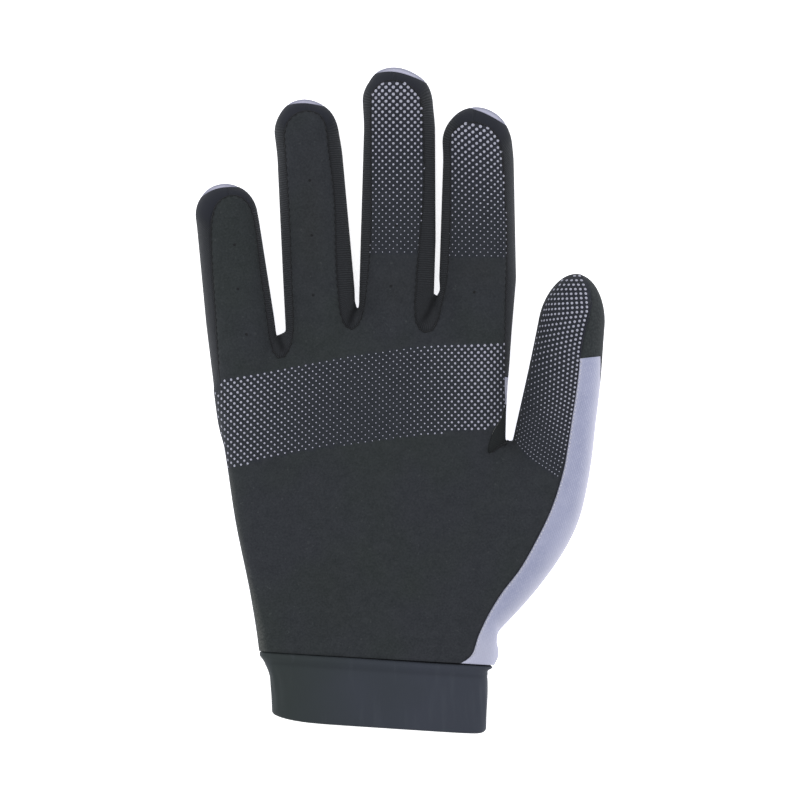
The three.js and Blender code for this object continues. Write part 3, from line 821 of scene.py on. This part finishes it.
def thread_finish(name, colour, rough=0.7):
    """Thread or print: one colour with a fine noise in it."""
    material, tree, surface = sheen_cloth(name, rough, 0.1, (0.9, 0.9, 0.95))
    fine = mottle(tree, 0.3, 0.7, 2500.0, 2.0)
    base = mix(tree, fine, tuple(channel * 0.85 for channel in colour), colour)
    tree.links.new(base, surface.inputs["Base Color"])
    return material


SUEDE = suede_finish()
WALL_RIB = rib_finish("wall_rib_knit", 0.72, 0.0, (34, 36, 39), (67, 69, 74), 0.2)
EDGE_RIB = rib_finish("slanted_rib_knit", 0.66, 0.8, (33, 35, 39), (61, 63, 68), 0.48)
GUSSET_CLOTH = rib_finish("gusset_knit", 0.7, 0.5, (34, 37, 38), (44, 47, 49), 0.0)
LILAC = lilac_finish()
MICROFIBRE = microfibre_finish()
ELASTIC = elastic_finish()
DARK_THREAD = thread_finish("dark_thread", (26, 28, 31))
NAVY_THREAD = thread_finish("navy_thread", (36, 38, 50))
GREY_THREAD = thread_finish("grey_thread", (128, 128, 126))
PALE_THREAD = thread_finish("pale_thread", (222, 223, 238))
DOT_RUBBER = thread_finish("dot_rubber", (184, 185, 203), 0.5)

# Where the pieces begin and end along the seam
WALL_START = near(222.5, 390)
WALL_FULL = near(219.6, 368)
LITTLE_TIP = near(229, 196.8)
RING_TIP = near(307.5, 111.6)
MIDDLE_TIP = near(394, 81)
INDEX_TIP = near(473.2, 122.9)
INDEX_END = near(505.1, 377)
LEAF_TOP = near(504.3, 404)
LEAF_END = near(489, 453.5)
TIP_OVER = near(577.5, 290.5)
TIP_TURN = near(590.8, 301)
PATCH_END = near(579, 359)
TAIL_END = near(575.8, 386)
LAST = COUNT - 1

# The v at which a piece that wraps to the back ends: the suede, the web leaf and the thumb's patch
SPLIT = 0.66
LEAF_EDGE = 0.72
PATCH_EDGE = 0.8

# Distance between the points of the two large sheets
PALM_PITCH = 1.05
BACK_PITCH = 1.25

# Lilac ends over the fingertips: where each starts and ends on the outline, and its thickness
TIP_ENDS = [
    ((203, 198), (238, 187), 1.35),
    ((288, 105.5), (324, 107), 1.4),
    ((375.5, 73.5), (425.5, 82), 1.75),
    ((470.5, 111), (504.5, 125), 1.8),
]
TIP_CROWNS = place([(221, 190), (306, 100), (397, 68), (488, 109)])
TURN = 7             # stations over which a lilac end turns over the outline to the back seam
TIPS_FROM = 100.0    # lilac further up than this is a fingertip's, not the thumb's
PRINT_HEIGHT = 6.0   # the suede lower than this is on the back, and bears no print


def outline_station(x, y):
    """Number of the station whose outline place is nearest."""
    return int(np.argmin(np.linalg.norm(OUTLINE - place((x, y)), axis=1)))


def tip_edges():
    """For each station the v where a lilac end begins, or 2 where there is none."""
    edge = np.full(COUNT, 2.0)
    spans = []
    for start, end, thick in TIP_ENDS:
        first, last = outline_station(*start), outline_station(*end)
        i = np.arange(first, last + 1)
        bulge = np.sin(np.pi * (i - first) / (last - first)) ** 0.7
        edge[i] = across_share(1 - thick * bulge / INSET[i])
        turn = np.arange(1, TURN + 1)
        edge[first - turn] = edge[last + turn] = 0.5 + 0.5 * (turn / TURN) ** 0.8
        spans.append((first - TURN, last + TURN))
    return edge, spans


TIP_EDGE, TIP_SPANS = tip_edges()


def drawn(points):
    """Even places along a line through front-view points."""
    at = np.linspace(0, len(points) - 1, 24)
    return along_line(at, np.arange(len(points)), place(points))


# Lines down the crotches, along which the walls get a painted shade
CREASE_SHADE_LINES = np.vstack([
    drawn([(433.5, 299), (430, 309), (424, 320)]),
    drawn([(355.5, 307), (352.5, 314), (350, 322)]),
    drawn([(278.7, 335), (280, 341), (283, 349)]),
])


def painted_edge_light(points, deep):
    """Share of painted edge light: 1 at the outline, fading over a share of the depth on the palm
    side.
    """
    half = half_depth(points[:, 1])
    return 1 - ease((points[:, 2] - REST_SHARE * half) / half, 0.0, deep)


def wall(name, first, last, material, node_name, start=0.0):
    """A ribbed strip down a finger's side, cut back where the lilac tip covers it."""
    columns = 19
    end = np.minimum(1.0, TIP_EDGE[first:last + 1])
    points, faces = strip(first, last, start, end, columns)
    made = put_mesh(name, (points, faces), merge=False)
    grid = points.reshape(-1, columns, 3)
    down = np.zeros(grid.shape[:2])
    down[:, 1:] = np.cumsum(np.linalg.norm(np.diff(grid, axis=1), axis=2), axis=1)
    along = np.broadcast_to(RUN[first:last + 1, None], down.shape)
    give(made, cloth_place=np.stack([along, down, np.zeros_like(down)], axis=2).reshape(-1, 3),
         # painted sheen at the outline
         rim=painted_edge_light(points, 0.85),
         plain=1 - ease(off_line(points, TIP_CROWNS), 8.5, 14),
         # painted shade down the crotch creases
         deep=0.85 * np.exp(-off_line(points, CREASE_SHADE_LINES) ** 2))
    cloth(made, WALL_THICK)
    finish_piece(made, material, node_name)


def wall_taper(last):
    """The little finger's wall comes in from the outline to the seam over its first stretch."""
    run = RUN[WALL_START:last + 1]
    return across_share(1 - ease(run, RUN[WALL_START], RUN[WALL_FULL]))


wall("outer_side_of_little", WALL_START, LITTLE_TIP, EDGE_RIB, "outer_side_little",
     wall_taper(LITTLE_TIP))
wall("wall_little_to_ring", LITTLE_TIP, RING_TIP, WALL_RIB, "fourchette_little_ring")
wall("wall_ring_to_middle", RING_TIP, MIDDLE_TIP, WALL_RIB, "fourchette_ring_middle")
wall("wall_middle_to_index", MIDDLE_TIP, INDEX_TIP, WALL_RIB, "fourchette_middle_index")
wall("outer_side_of_index", INDEX_TIP, INDEX_END, EDGE_RIB, "outer_side_index")

leaf = put_mesh("web_leaf", strip(LEAF_TOP, LEAF_END, 0.0, LEAF_EDGE, 14), merge=False)
give(leaf, cloth_place=mesh_places(leaf)[:, [1, 0, 2]] * (1, 1, 0))
cloth(leaf, WALL_THICK)
finish_piece(leaf, GUSSET_CLOTH, "web_gusset")

# The patch starts under the thumb's tip, and its tail narrows to a point beside the seam
PATCH_START = across_share(ease(-RUN[TIP_OVER:PATCH_END + 1], -RUN[TIP_TURN], -RUN[TIP_OVER]))
tail = slice(PATCH_END, TAIL_END + 1)
tail_share = (RUN[TAIL_END] - RUN[tail]) / (RUN[TAIL_END] - RUN[PATCH_END])
TAIL_LOW = across_share(1 - 0.75 * tail_share / INSET[tail])
TAIL_HIGH = 0.5 + 0.3 * tail_share
patch = put_mesh("thumb_side_patch", joined(
    strip(TIP_OVER, PATCH_END, PATCH_START, PATCH_EDGE, 16),
    strip(PATCH_END, TAIL_END, TAIL_LOW, TAIL_HIGH, 8)))
cloth(patch, WALL_THICK)
finish_piece(patch, MICROFIBRE, "thumb_patch")

# Places of the print and the marks, on the front view
BAND_TOP = np.array([(205, 384), (222, 380.5), (260, 374), (300, 366), (350, 356.5),
                     (378, 352.5), (400, 349.3), (421, 346.7), (442, 345.5), (463, 345.2),
                     (484, 344.7), (508, 343)], float)
BAND_LOW = np.array([(215, 471), (229, 468), (262, 460.5), (300, 452), (340, 445.5), (380, 440),
                     (440, 433), (490, 428), (506, 425)], float)
BAND_ZONE = place(np.vstack([BAND_TOP, BAND_LOW[::-1]]))
MIDDLE_ZONE = place([(365, 76), (430, 76), (430, 256), (365, 256)])
INDEX_ZONE = place([(445, 112), (512, 112), (512, 256.5), (445, 256.5)])
THUMB_ZONE = place([(513, 436), (524, 456), (538, 466), (557, 478), (563, 460), (570, 425),
                    (575, 393), (578, 369), (580, 347), (584, 329), (589, 310), (592, 298),
                    (591, 289), (584.5, 276), (580, 262), (556, 262), (536, 300), (522, 350),
                    (508, 425)])


def printed(points):
    """1 where the dots are printed, 0 elsewhere."""
    found = np.zeros(len(points), bool)
    for zone in (BAND_ZONE, MIDDLE_ZONE, INDEX_ZONE, THUMB_ZONE):
        found |= inside(zone, points)
    return found.astype(float)


def navy_share(points):
    """How deep the navy under the dots is: most at the fingertips and by the thumb's seam."""
    down = (WRIST_AT[1] - points[:, 1] / STEP)
    fingers = inside(MIDDLE_ZONE, points) | inside(INDEX_ZONE, points)
    thumb = inside(THUMB_ZONE, points) * ease(points[:, 0], *place([(545, 0), (585, 0)])[:, 0])
    return 0.8 * fingers * ease(-down, -235, -130) + 0.5 * thumb


def painted_nap_shade(points):
    """Soft brown-black painted shade on the fronts of the fingers and on the palm, where the nap
    looks dim in this light: round bell curves.
    """
    total = np.zeros(len(points))
    for x, y, wide, tall, deep in ((311, 225, 15, 62, 0.65), (396, 288, 24, 24, 0.45),
                                   (478, 272, 26, 15, 0.5), (330, 600, 22, 40, 0.25)):
        gap = (points - place((x, y))) / (wide * STEP, tall * STEP)
        total += deep * np.exp(-(gap ** 2).sum(axis=1))
    return np.clip(total, 0, 1)


def painted_rim_sheen(points):
    """Painted sheen of the nap along the outline: narrow along the little finger's side, wide and
    pale at the wrist.
    """
    low = ease(-points[:, 1], -34, -2)
    wide = 1.9 + 1.7 * low
    off = off_line(points, OUTLINE[:WALL_START])
    side = (1 - ease(off / wide, 0.1, 1.0)) * ease(-points[:, 1], -66, -54)
    face = points[:, 2] > REST_SHARE * half_depth(points[:, 1]) - 1
    other = painted_edge_light(points, 0.75) * 0.12
    return np.maximum(side * (0.42 + 0.33 * low) * face, other)


def palm_panel():
    """The front within the seam, joined to where it wraps the palm's edge and the thumb."""
    left = strip(0, WALL_START, 0.0, SPLIT, 15)
    corner = strip(WALL_START, WALL_FULL, 0.0, wall_taper(WALL_FULL), 12)
    thumb_side = strip(LEAF_END, TIP_OVER, 0.0, SPLIT, 15)
    tip = strip(TIP_OVER, TIP_TURN, 0.0, PATCH_START[:TIP_TURN - TIP_OVER + 1], 12)
    front = sheet_inside(seam_loop(SEAM_AT), top_height, PALM_PITCH, True)
    return joined(front, left, corner, thumb_side, tip)


def seam_loop(path):
    """The seam closed by even places along the wrist, about a millimetre apart."""
    start, end = path[0], path[-1]
    count = int(np.linalg.norm(end - start))
    t = np.linspace(0, 1, count + 1)[1:-1, None]
    return np.vstack([path, end + t * (start - end)])


palm = put_mesh("palm_front", palm_panel())
spots = mesh_places(palm)
# shade is a painted shade on the fingers, rim a painted sheen of the nap along the outline
give(palm, printed=printed(spots[:, :2]) * (spots[:, 2] > PRINT_HEIGHT),
     navy=navy_share(spots[:, :2]), shade=painted_nap_shade(spots[:, :2]), rim=painted_rim_sheen(spots))
cloth(palm, PALM_THICK, PALM_PROUD)
finish_piece(palm, SUEDE, "palm_panel")


def back_panel():
    """The back within its seam, joined to the thumb's side, the finger ends and the wraps."""
    back = sheet_inside(seam_loop(BACK_SEAM), back_height, BACK_PITCH, False)
    parts = [back, strip(0, WALL_START, SPLIT, 1.0, 8),
             strip(INDEX_END, LEAF_TOP, 0.0, 1.0, 16),
             strip(LEAF_TOP, LEAF_END, LEAF_EDGE, 1.0, 7),
             strip(LEAF_END, TIP_OVER, SPLIT, 1.0, 8),
             strip(TIP_OVER, PATCH_END, PATCH_EDGE, 1.0, 6),
             strip(PATCH_END, TAIL_END, 0.0, TAIL_LOW, 17),
             strip(PATCH_END, TAIL_END, TAIL_HIGH, 1.0, 17), strip(TAIL_END, LAST, 0.0, 1.0, 33)]
    for first, last in TIP_SPANS:
        parts.append(strip(first, last, TIP_EDGE[first:last + 1], 1.0, 18))
    return joined(*parts)


back = put_mesh("lilac_back", back_panel())
spots = mesh_places(back)
at_tips = spots[:, 1] > TIPS_FROM
middle = REST_SHARE * half_depth(spots[:, 1])
off = off_line(spots, SEAM_AT[PATCH_END:])
# rim is a painted highlight where the lilac turns over the edge; tip and inner paint shade over
# the fingertip caps, deepest at the outline
give(back, rim=painted_edge_light(spots, 0.8) * ease(spots[:, 2], 6, 11) * ~at_tips,
     hem=0.7 * np.exp(-(off / 0.85) ** 2) * (spots[:, 2] > middle),
     wrist=0.9 * ease(-spots[:, 1], -15, -3),
     tip=at_tips * ease(spots[:, 2], middle - 2.5, middle - 0.5),
     inner=ease(off_line(spots, OUTLINE), 0.25, 1.2))
cloth(back, BACK_THICK)
finish_piece(back, LILAC, "back_panel")


# Raised dots

def dot_rows(rows, columns, pitch, row_pitch):
    """A staggered lattice: every second row moves half a pitch."""
    k, j = np.meshgrid(np.arange(rows), np.arange(columns), indexing="ij")
    return j * pitch + (k % 2) * pitch / 2, k * row_pitch


def band_dots():
    """Rows under the band's upper edge; large at both sides of the hand, small in the middle."""
    across, down = dot_rows(30, 50, 7.0, 3.45)
    curve = 330
    x = 355 + curve * np.sin((across - 168) / curve)
    y = np.interp(x, BAND_TOP[:, 0], BAND_TOP[:, 1]) + 1 + down
    low = np.interp(x, BAND_LOW[:, 0], BAND_LOW[:, 1])
    keep = y < low
    middle = 372
    far = np.where(x < middle, (middle - x) / 170, (x - middle) / 125)
    size = 0.19 + 0.25 * ease(far, 0.1, 1.0) + 0.03 * ease(-(y - low), 0, 80)
    size = size - 0.08 * ease(x, 494, 506)
    return x[keep], y[keep], size[keep]


def finger_dots(middle, top, slant, low):
    """Rows down a finger, closer together where it turns away, shrinking towards its root."""
    across, down = dot_rows(54, 11, 7.4, 3.5)
    across = across - 37
    curve = 38
    x = middle + curve * np.sin(across / curve)
    y = top + down + slant * across * ease(-down, -170, 0)
    share = np.clip((y - top) / (low - top), 0, 1)
    size = 0.63 - 0.45 * share ** 0.7
    keep = y < low
    return x[keep], y[keep], size[keep]


def thumb_dots():
    """Rows that start beside the thumb's seam, level at the tip and slanting further down."""
    k, j = np.meshgrid(np.arange(48), np.arange(19), indexing="ij")
    down = 272 + 4.4 * k
    edge = np.interp(down, [270, 290, 310, 329, 347, 357, 393, 425, 460, 478],
                     [579, 587, 588.5, 583.5, 580, 579, 575, 570, 563.5, 557.5])
    turn = np.radians(29 * ease(down, 280, 400))
    round_way = 44 + 34 * ease(down, 285, 400)
    angle = (2.2 + 4.95 * j) / round_way
    reach = round_way * np.sin(angle)
    x = edge - reach * np.cos(turn)
    y = down + reach * np.sin(turn)
    share = np.clip(0.55 * (x - 530) / 55 + 0.55 * (400 - y) / 130, 0, 1)
    keep = angle < 1.2
    return x[keep], y[keep], (0.185 + 0.31 * share ** 0.65)[keep]


def small_piece(name, parts, material, merge=True):
    """A piece of closed shells, each turned outwards."""
    made = put_mesh(name, parts, merge)
    facing_out(made)
    finish_piece(made, material, "")


def all_dots():
    """Places and radii in millimetres of every dot that its zone and the cloth hold."""
    loop = seam_loop(SEAM_AT)
    found = []
    palm_left = place((240, 390))
    thumb_left = place((507, 0))[0]
    for (x, y, size), zone, free in (
            (band_dots(), BAND_ZONE, True),
            (finger_dots(397.1, 77.5, 0.0, 255.5), MIDDLE_ZONE, False),
            (finger_dots(476.5, 116, 0.2, 256.5), INDEX_ZONE, False),
            (thumb_dots(), THUMB_ZONE, True)):
        spot = place(np.stack([x, y], axis=1))
        keep = inside(zone, spot) & (fullness(*spot.T) > 0.07)
        wrapped = (spot < palm_left).all(axis=1) | (spot[:, 0] > thumb_left)
        keep &= inside(loop, spot) | (free & wrapped)
        found.append(np.column_stack([spot[keep], size[keep]]))
    return np.vstack(found)


def circle(turn, flat, up):
    """For each pair of directions, the places of a circle of radius 1 at the given turns."""
    return (np.cos(turn)[None, :, None] * flat[:, None]
            + np.sin(turn)[None, :, None] * up[:, None])


def round_bumps(x, y, radius, tall, sides=8):
    """Low domes set on the cloth: a foot ring, a shoulder ring and a middle, closed below."""
    centre, normal = top_frame(x, y)
    flat = np.cross(normal, (0.0, 1.0, 0.0))
    flat /= np.linalg.norm(flat, axis=1, keepdims=True)
    other = np.cross(normal, flat)
    turn = 2 * np.pi * np.arange(sides) / sides
    rings = []
    for share, height in ((1.0, -0.12), (1.0, 0.25), (0.72, 0.8), (0.0, 1.0)):
        lift = (PALM_PROUD + height * tall)[:, None] * normal
        if share == 0.0:
            rings.append((centre + lift)[:, None])
            continue
        ring = share * radius[:, None, None] * circle(turn, flat, other)
        rings.append(centre[:, None] + lift[:, None] + ring)
    points = np.concatenate(rings, axis=1)
    i = np.arange(sides)
    after = (i + 1) % sides
    wall_one = np.stack([i, after, after + sides, i + sides], axis=1)
    wall_two = wall_one + sides
    cap = np.stack([i + 2 * sides, after + 2 * sides, np.full(sides, 3 * sides)], axis=1)
    each = wall_one.tolist() + wall_two.tolist() + cap.tolist() + [i[::-1].tolist()]
    count = points.shape[1]
    faces = [[c + n * count for c in face] for n in range(len(points)) for face in each]
    return points.reshape(-1, 3), faces


def facing_out(thing):
    """Turns each closed shell of a piece outwards."""
    work = bmesh.new()
    work.from_mesh(thing.data)
    bmesh.ops.recalc_face_normals(work, faces=work.faces)
    work.to_mesh(thing.data)
    work.free()


dot_x, dot_y, dot_size = all_dots().T
small_piece("grip_dots", round_bumps(dot_x, dot_y, dot_size, 0.1 + 0.16 * dot_size),
            DOT_RUBBER, merge=False)

# Dark domes at the pin holes: painted shade standing for the holes' dim insides
HOLES = place([(310, 181), (312, 235.7), (313.5, 295.5), (235, 245.2), (238.5, 289.4),
               (247, 334.7), (396.5, 226), (391, 286.5), (474, 189), (474, 292.5)])
hole_size = np.full(len(HOLES), 0.5)
small_piece("pin_hole_shade_domes", round_bumps(*HOLES.T, hole_size, 0.16 * hole_size),
            DARK_THREAD, merge=False)


# Threads

def tube(path, normal, radius, sides=6):
    """A closed thread: rings round a path, drawn in to a point at both ends."""
    ahead = np.gradient(path, axis=0)
    ahead /= np.linalg.norm(ahead, axis=1, keepdims=True)
    flat = np.cross(ahead, normal)
    flat /= np.linalg.norm(flat, axis=1, keepdims=True)
    up = np.cross(flat, ahead)
    turn = 2 * np.pi * np.arange(sides + 1) / sides
    taper = np.ones(len(path))
    taper[[0, -1]] = 0.02
    points = path[:, None] + radius * taper[:, None, None] * circle(turn, flat, up)
    return points.reshape(-1, 3), grid_faces(len(path), sides + 1)


def beside_seam(stations, inset):
    """Places a set distance inside the seam, or outside if negative, and their normals."""
    out = (OUTLINE[stations] - SEAM_AT[stations]) / INSET[stations][:, None]
    spot = SEAM_AT[stations] - inset * out
    return top_frame(*spot.T)


STITCH_RADIUS = 0.17
STITCH_LIFT = 0.1


def stitches(first, last, pitch, length, inset, sway=0.0):
    """Short threads in a row beside the seam, swaying to each side of it in turn."""
    run = RUN[first:last + 1]
    starts = np.arange(run[0] + pitch / 2, run[-1] - pitch / 2, pitch)
    parts = []
    for n, start in enumerate(starts):
        at = start + np.linspace(0, length, 5)
        side = sway * (1 if n % 2 else -1) * np.linspace(-1, 1, 5)
        parts.append(tube(*stitch_line(at, inset + side), STITCH_RADIUS))
    return joined(*parts)


def stitch_line(run, inset):
    """Places at lengths along the seam, moved aside and lifted with a low arch."""
    out = along_line(run, RUN, (OUTLINE - SEAM_AT) / INSET[:, None])
    spot = along_line(run, RUN, SEAM_AT) - np.broadcast_to(inset, run.shape)[:, None] * out
    centre, normal = top_frame(*spot.T)
    arch = STITCH_LIFT + 0.12 * np.sin(np.pi * np.linspace(0, 1, len(run)))
    return centre + arch[:, None] * normal, normal


def cord(name, first, last, inset, radius, material):
    """A thread laid along the seam between two stations."""
    path = beside_seam(np.arange(first, last + 1), inset)
    small_piece(name, tube(*path, radius), material)


# The dark cord along the suede's edge: partly a dark seam, mostly painted shade in the groove
# between the suede and the wall
cord("seam_cord", WALL_FULL - 20, LEAF_TOP, -0.05, 0.24, DARK_THREAD)
# A grey thread along the suede's edge by the web leaf: a painted highlight on that edge
cord("leaf_edge_highlight", LEAF_TOP, near(491.5, 437), 0.0, 0.13, GREY_THREAD)
cord("patch_seam_cord", TIP_TURN, PATCH_END, -0.1, 0.28, NAVY_THREAD)
cord("thumb_edge_cord", PATCH_END, LAST - 1, 0.1, 0.24, NAVY_THREAD)

# A dark thread laid in the web's crease: painted shade where the fold between the leaf and the
# palm turns in
crease_at = band(np.full(24, LEAF_END), np.linspace(0.02, 0.46, 24))
crease_normal = top_frame(crease_at[:, 0], crease_at[:, 1])[1]
small_piece("web_crease_shade", tube(crease_at + 0.1 * crease_normal, crease_normal, 0.34),
            DARK_THREAD)
small_piece("topstitches", stitches(WALL_FULL, LEAF_TOP, 2.3, 1.4, 0.12),
            DARK_THREAD)
small_piece("thumb_stitches", stitches(PATCH_END, LAST - 2, 1.3, 0.95, -0.5, 0.26),
            PALE_THREAD)


# Cuff
HEM_ROUND = 0.9      # how far the hem's round end reaches


def filled(turned):
    """The share across or up of a superellipse: the root of a cosine or sine, with its sign."""
    return np.sign(turned) * np.abs(turned) ** 0.5


def cuff_surface():
    """A ring of superellipse sections carried down a profile: under the palm's edge, over the
    rolled fold, down to the rounded hem and up inside."""
    hem_start = CUFF_LENGTH - HEM_ROUND
    outer = np.concatenate([np.linspace(-1.6, 5.0, 34), np.linspace(5.6, hem_start, 26)])
    turn = np.linspace(0, np.pi, 9)
    hem = hem_start + HEM_ROUND * np.sin(turn)
    inner = np.linspace(hem_start, -2.4, 22)[1:]
    down = np.concatenate([outer, hem[1:], inner])
    inset = np.concatenate([
        1.15 * (1 - ease(outer, -0.5, 0.7)), CUFF_WALL * (1 - np.cos(turn[1:])) / 2,
        np.full(len(inner), CUFF_WALL)])
    fold = 0.5 * np.exp(-((down - 1.6) / 1.1) ** 2) - 0.12 * np.exp(-((down - 3.7) / 0.8) ** 2)
    fold[len(outer):] = 0
    wrist, hem_half = WRIST_WIDTH / 2, HEM_WIDTH / 2
    little_side = through_rows(np.array([-3, 0, 3.2, 5, 7.5, 13, 22.5]), np.array(
        [wrist + 0.2, wrist + 0.3, wrist - 0.65, hem_half + 1.5, hem_half + 0.5, hem_half - 0.2,
         hem_half - 0.6]), down)
    thumb_side = through_rows(np.array([-3, 0, 0.7, 1.6, 3, 8, 16, 22.5]), np.array(
        [wrist, wrist - 0.3, wrist - 0.7, hem_half + 0.8, hem_half + 0.95, hem_half + 0.9,
         hem_half + 0.75, hem_half + 0.5]), down)
    sides = 256
    around = 2 * np.pi * np.arange(sides)[:, None] / sides
    c, s = np.cos(around), np.sin(around)
    half = little_side + ease(c, -0.6, 0.6) * (thumb_side - little_side)
    outside = np.arange(len(down)) < len(outer)
    crease = (0.10 * np.sin(9 * around + 1.3 * np.sin(down / 4))
              + 0.07 * np.sin(23 * around + down / 6))
    crease = crease * outside * ease(down, 3.5, 9) * ease(-down, -CUFF_LENGTH, -14)
    wide = half + CUFF_ROLL * fold - inset + crease
    x = -0.002 * PALM_WIDTH + wide * filled(c)
    corner = np.where(x < 0, 0.09 * np.clip(-x / half, 0, 1) ** 6,
                      0.05 * np.clip(x / half, 0, 1) ** 24)
    y = -WRIST_SLOPE * x - down * (1 - corner)
    depth = half_depth(0.0)
    z = REST_SHARE * depth + filled(s) * (depth + CUFF_ROLL * fold - inset + crease)
    z = inset + kept_up(z - inset, 0.35)
    points = np.stack([x, y, z], axis=-1)
    first = np.arange(sides) * len(down)
    last = first + len(down) - 1
    rim = np.stack([last, np.roll(last, -1), np.roll(first, -1), first], axis=1)
    faces = np.vstack([grid_faces(sides, len(down), closed=True), rim])
    # Painted shade in the groove behind the rolled fold, and the top darkened where it runs under
    # the palm's edge
    dark = 0.15 * np.exp(-((down - 3.6) / 0.7) ** 2) + (down < 0.1)
    seam = np.broadcast_to(np.clip(dark, 0, 1) * outside, z.shape)
    # Painted light along the cuff's sides, where its section turns down
    edge = 1 - ease(np.abs(z - REST_SHARE * depth) / depth, 0.0, 0.7)
    return points.reshape(-1, 3), faces.tolist(), seam.ravel(), edge.ravel()


cuff_points, cuff_faces, cuff_seam_and_fold_shade, cuff_edge_light = cuff_surface()
cuff = put_mesh("elastic_cuff", (cuff_points, cuff_faces), merge=False)
give(cuff, seam=cuff_seam_and_fold_shade, rim=cuff_edge_light)
facing_out(cuff)
finish_piece(cuff, ELASTIC, "cuff")


# Floor, light and camera

def floor_sheet():
    """A flat pale sheet under the glove."""
    wide, low = 1.6, -0.0004
    mesh = bpy.data.meshes.new("floor")
    corners = [(-wide, -wide, low), (wide, -wide, low), (wide, wide, low), (-wide, wide, low)]
    mesh.from_pydata(corners, [], [(0, 1, 2, 3)])
    made = bpy.data.objects.new("floor", mesh)
    scene.collection.objects.link(made)
    material = bpy.data.materials.new("pale_floor")
    material.use_nodes = True
    surface = material.node_tree.nodes["Principled BSDF"]
    surface.inputs["Base Color"].default_value = (0.92, 0.92, 0.92, 1)
    surface.inputs["Roughness"].default_value = 0.9
    surface.inputs["Emission Color"].default_value = (1, 1, 1, 1)
    surface.inputs["Emission Strength"].default_value = 0.75
    mesh.materials.append(material)


def soft_light(name, where, size, power):
    """A wide square light that looks at the glove."""
    data = bpy.data.lights.new(name, "AREA")
    data.size = size
    data.energy = power
    made = bpy.data.objects.new(name, data)
    made.location = where
    made.rotation_euler = (-Vector(where)).to_track_quat("-Z", "Y").to_euler()
    scene.collection.objects.link(made)


floor_sheet()
soft_light("overhead", (-0.25, 0.35, 1.5), 1.3, 9.0)
soft_light("left_fill", (-1.2, -0.1, 0.8), 0.9, 4.0)
soft_light("right_fill", (1.2, 0.3, 0.8), 0.9, 5.0)
world = bpy.data.worlds.new("white_room")
world.use_nodes = True
world.node_tree.nodes["Background"].inputs["Color"].default_value = (1, 1, 1, 1)
world.node_tree.nodes["Background"].inputs["Strength"].default_value = 0.70
scene.world = world
scene.view_settings.view_transform = "Standard"

# In metres: the camera, the level at which the picture has its width, and that width
CAMERA_HEIGHT = 2.5
PICTURE_LEVEL = 0.0105
PICTURE_WIDTH = 0.26
camera_data = bpy.data.cameras.new("camera")
camera_data.sensor_width = 36.0
camera_data.lens = camera_data.sensor_width * (CAMERA_HEIGHT - PICTURE_LEVEL) / PICTURE_WIDTH
camera_data.clip_end = 10.0
camera = bpy.data.objects.new("camera", camera_data)
camera.location = (-0.000074, 0.000038, CAMERA_HEIGHT)
scene.collection.objects.link(camera)
scene.camera = camera

bpy.context.view_layer.update()
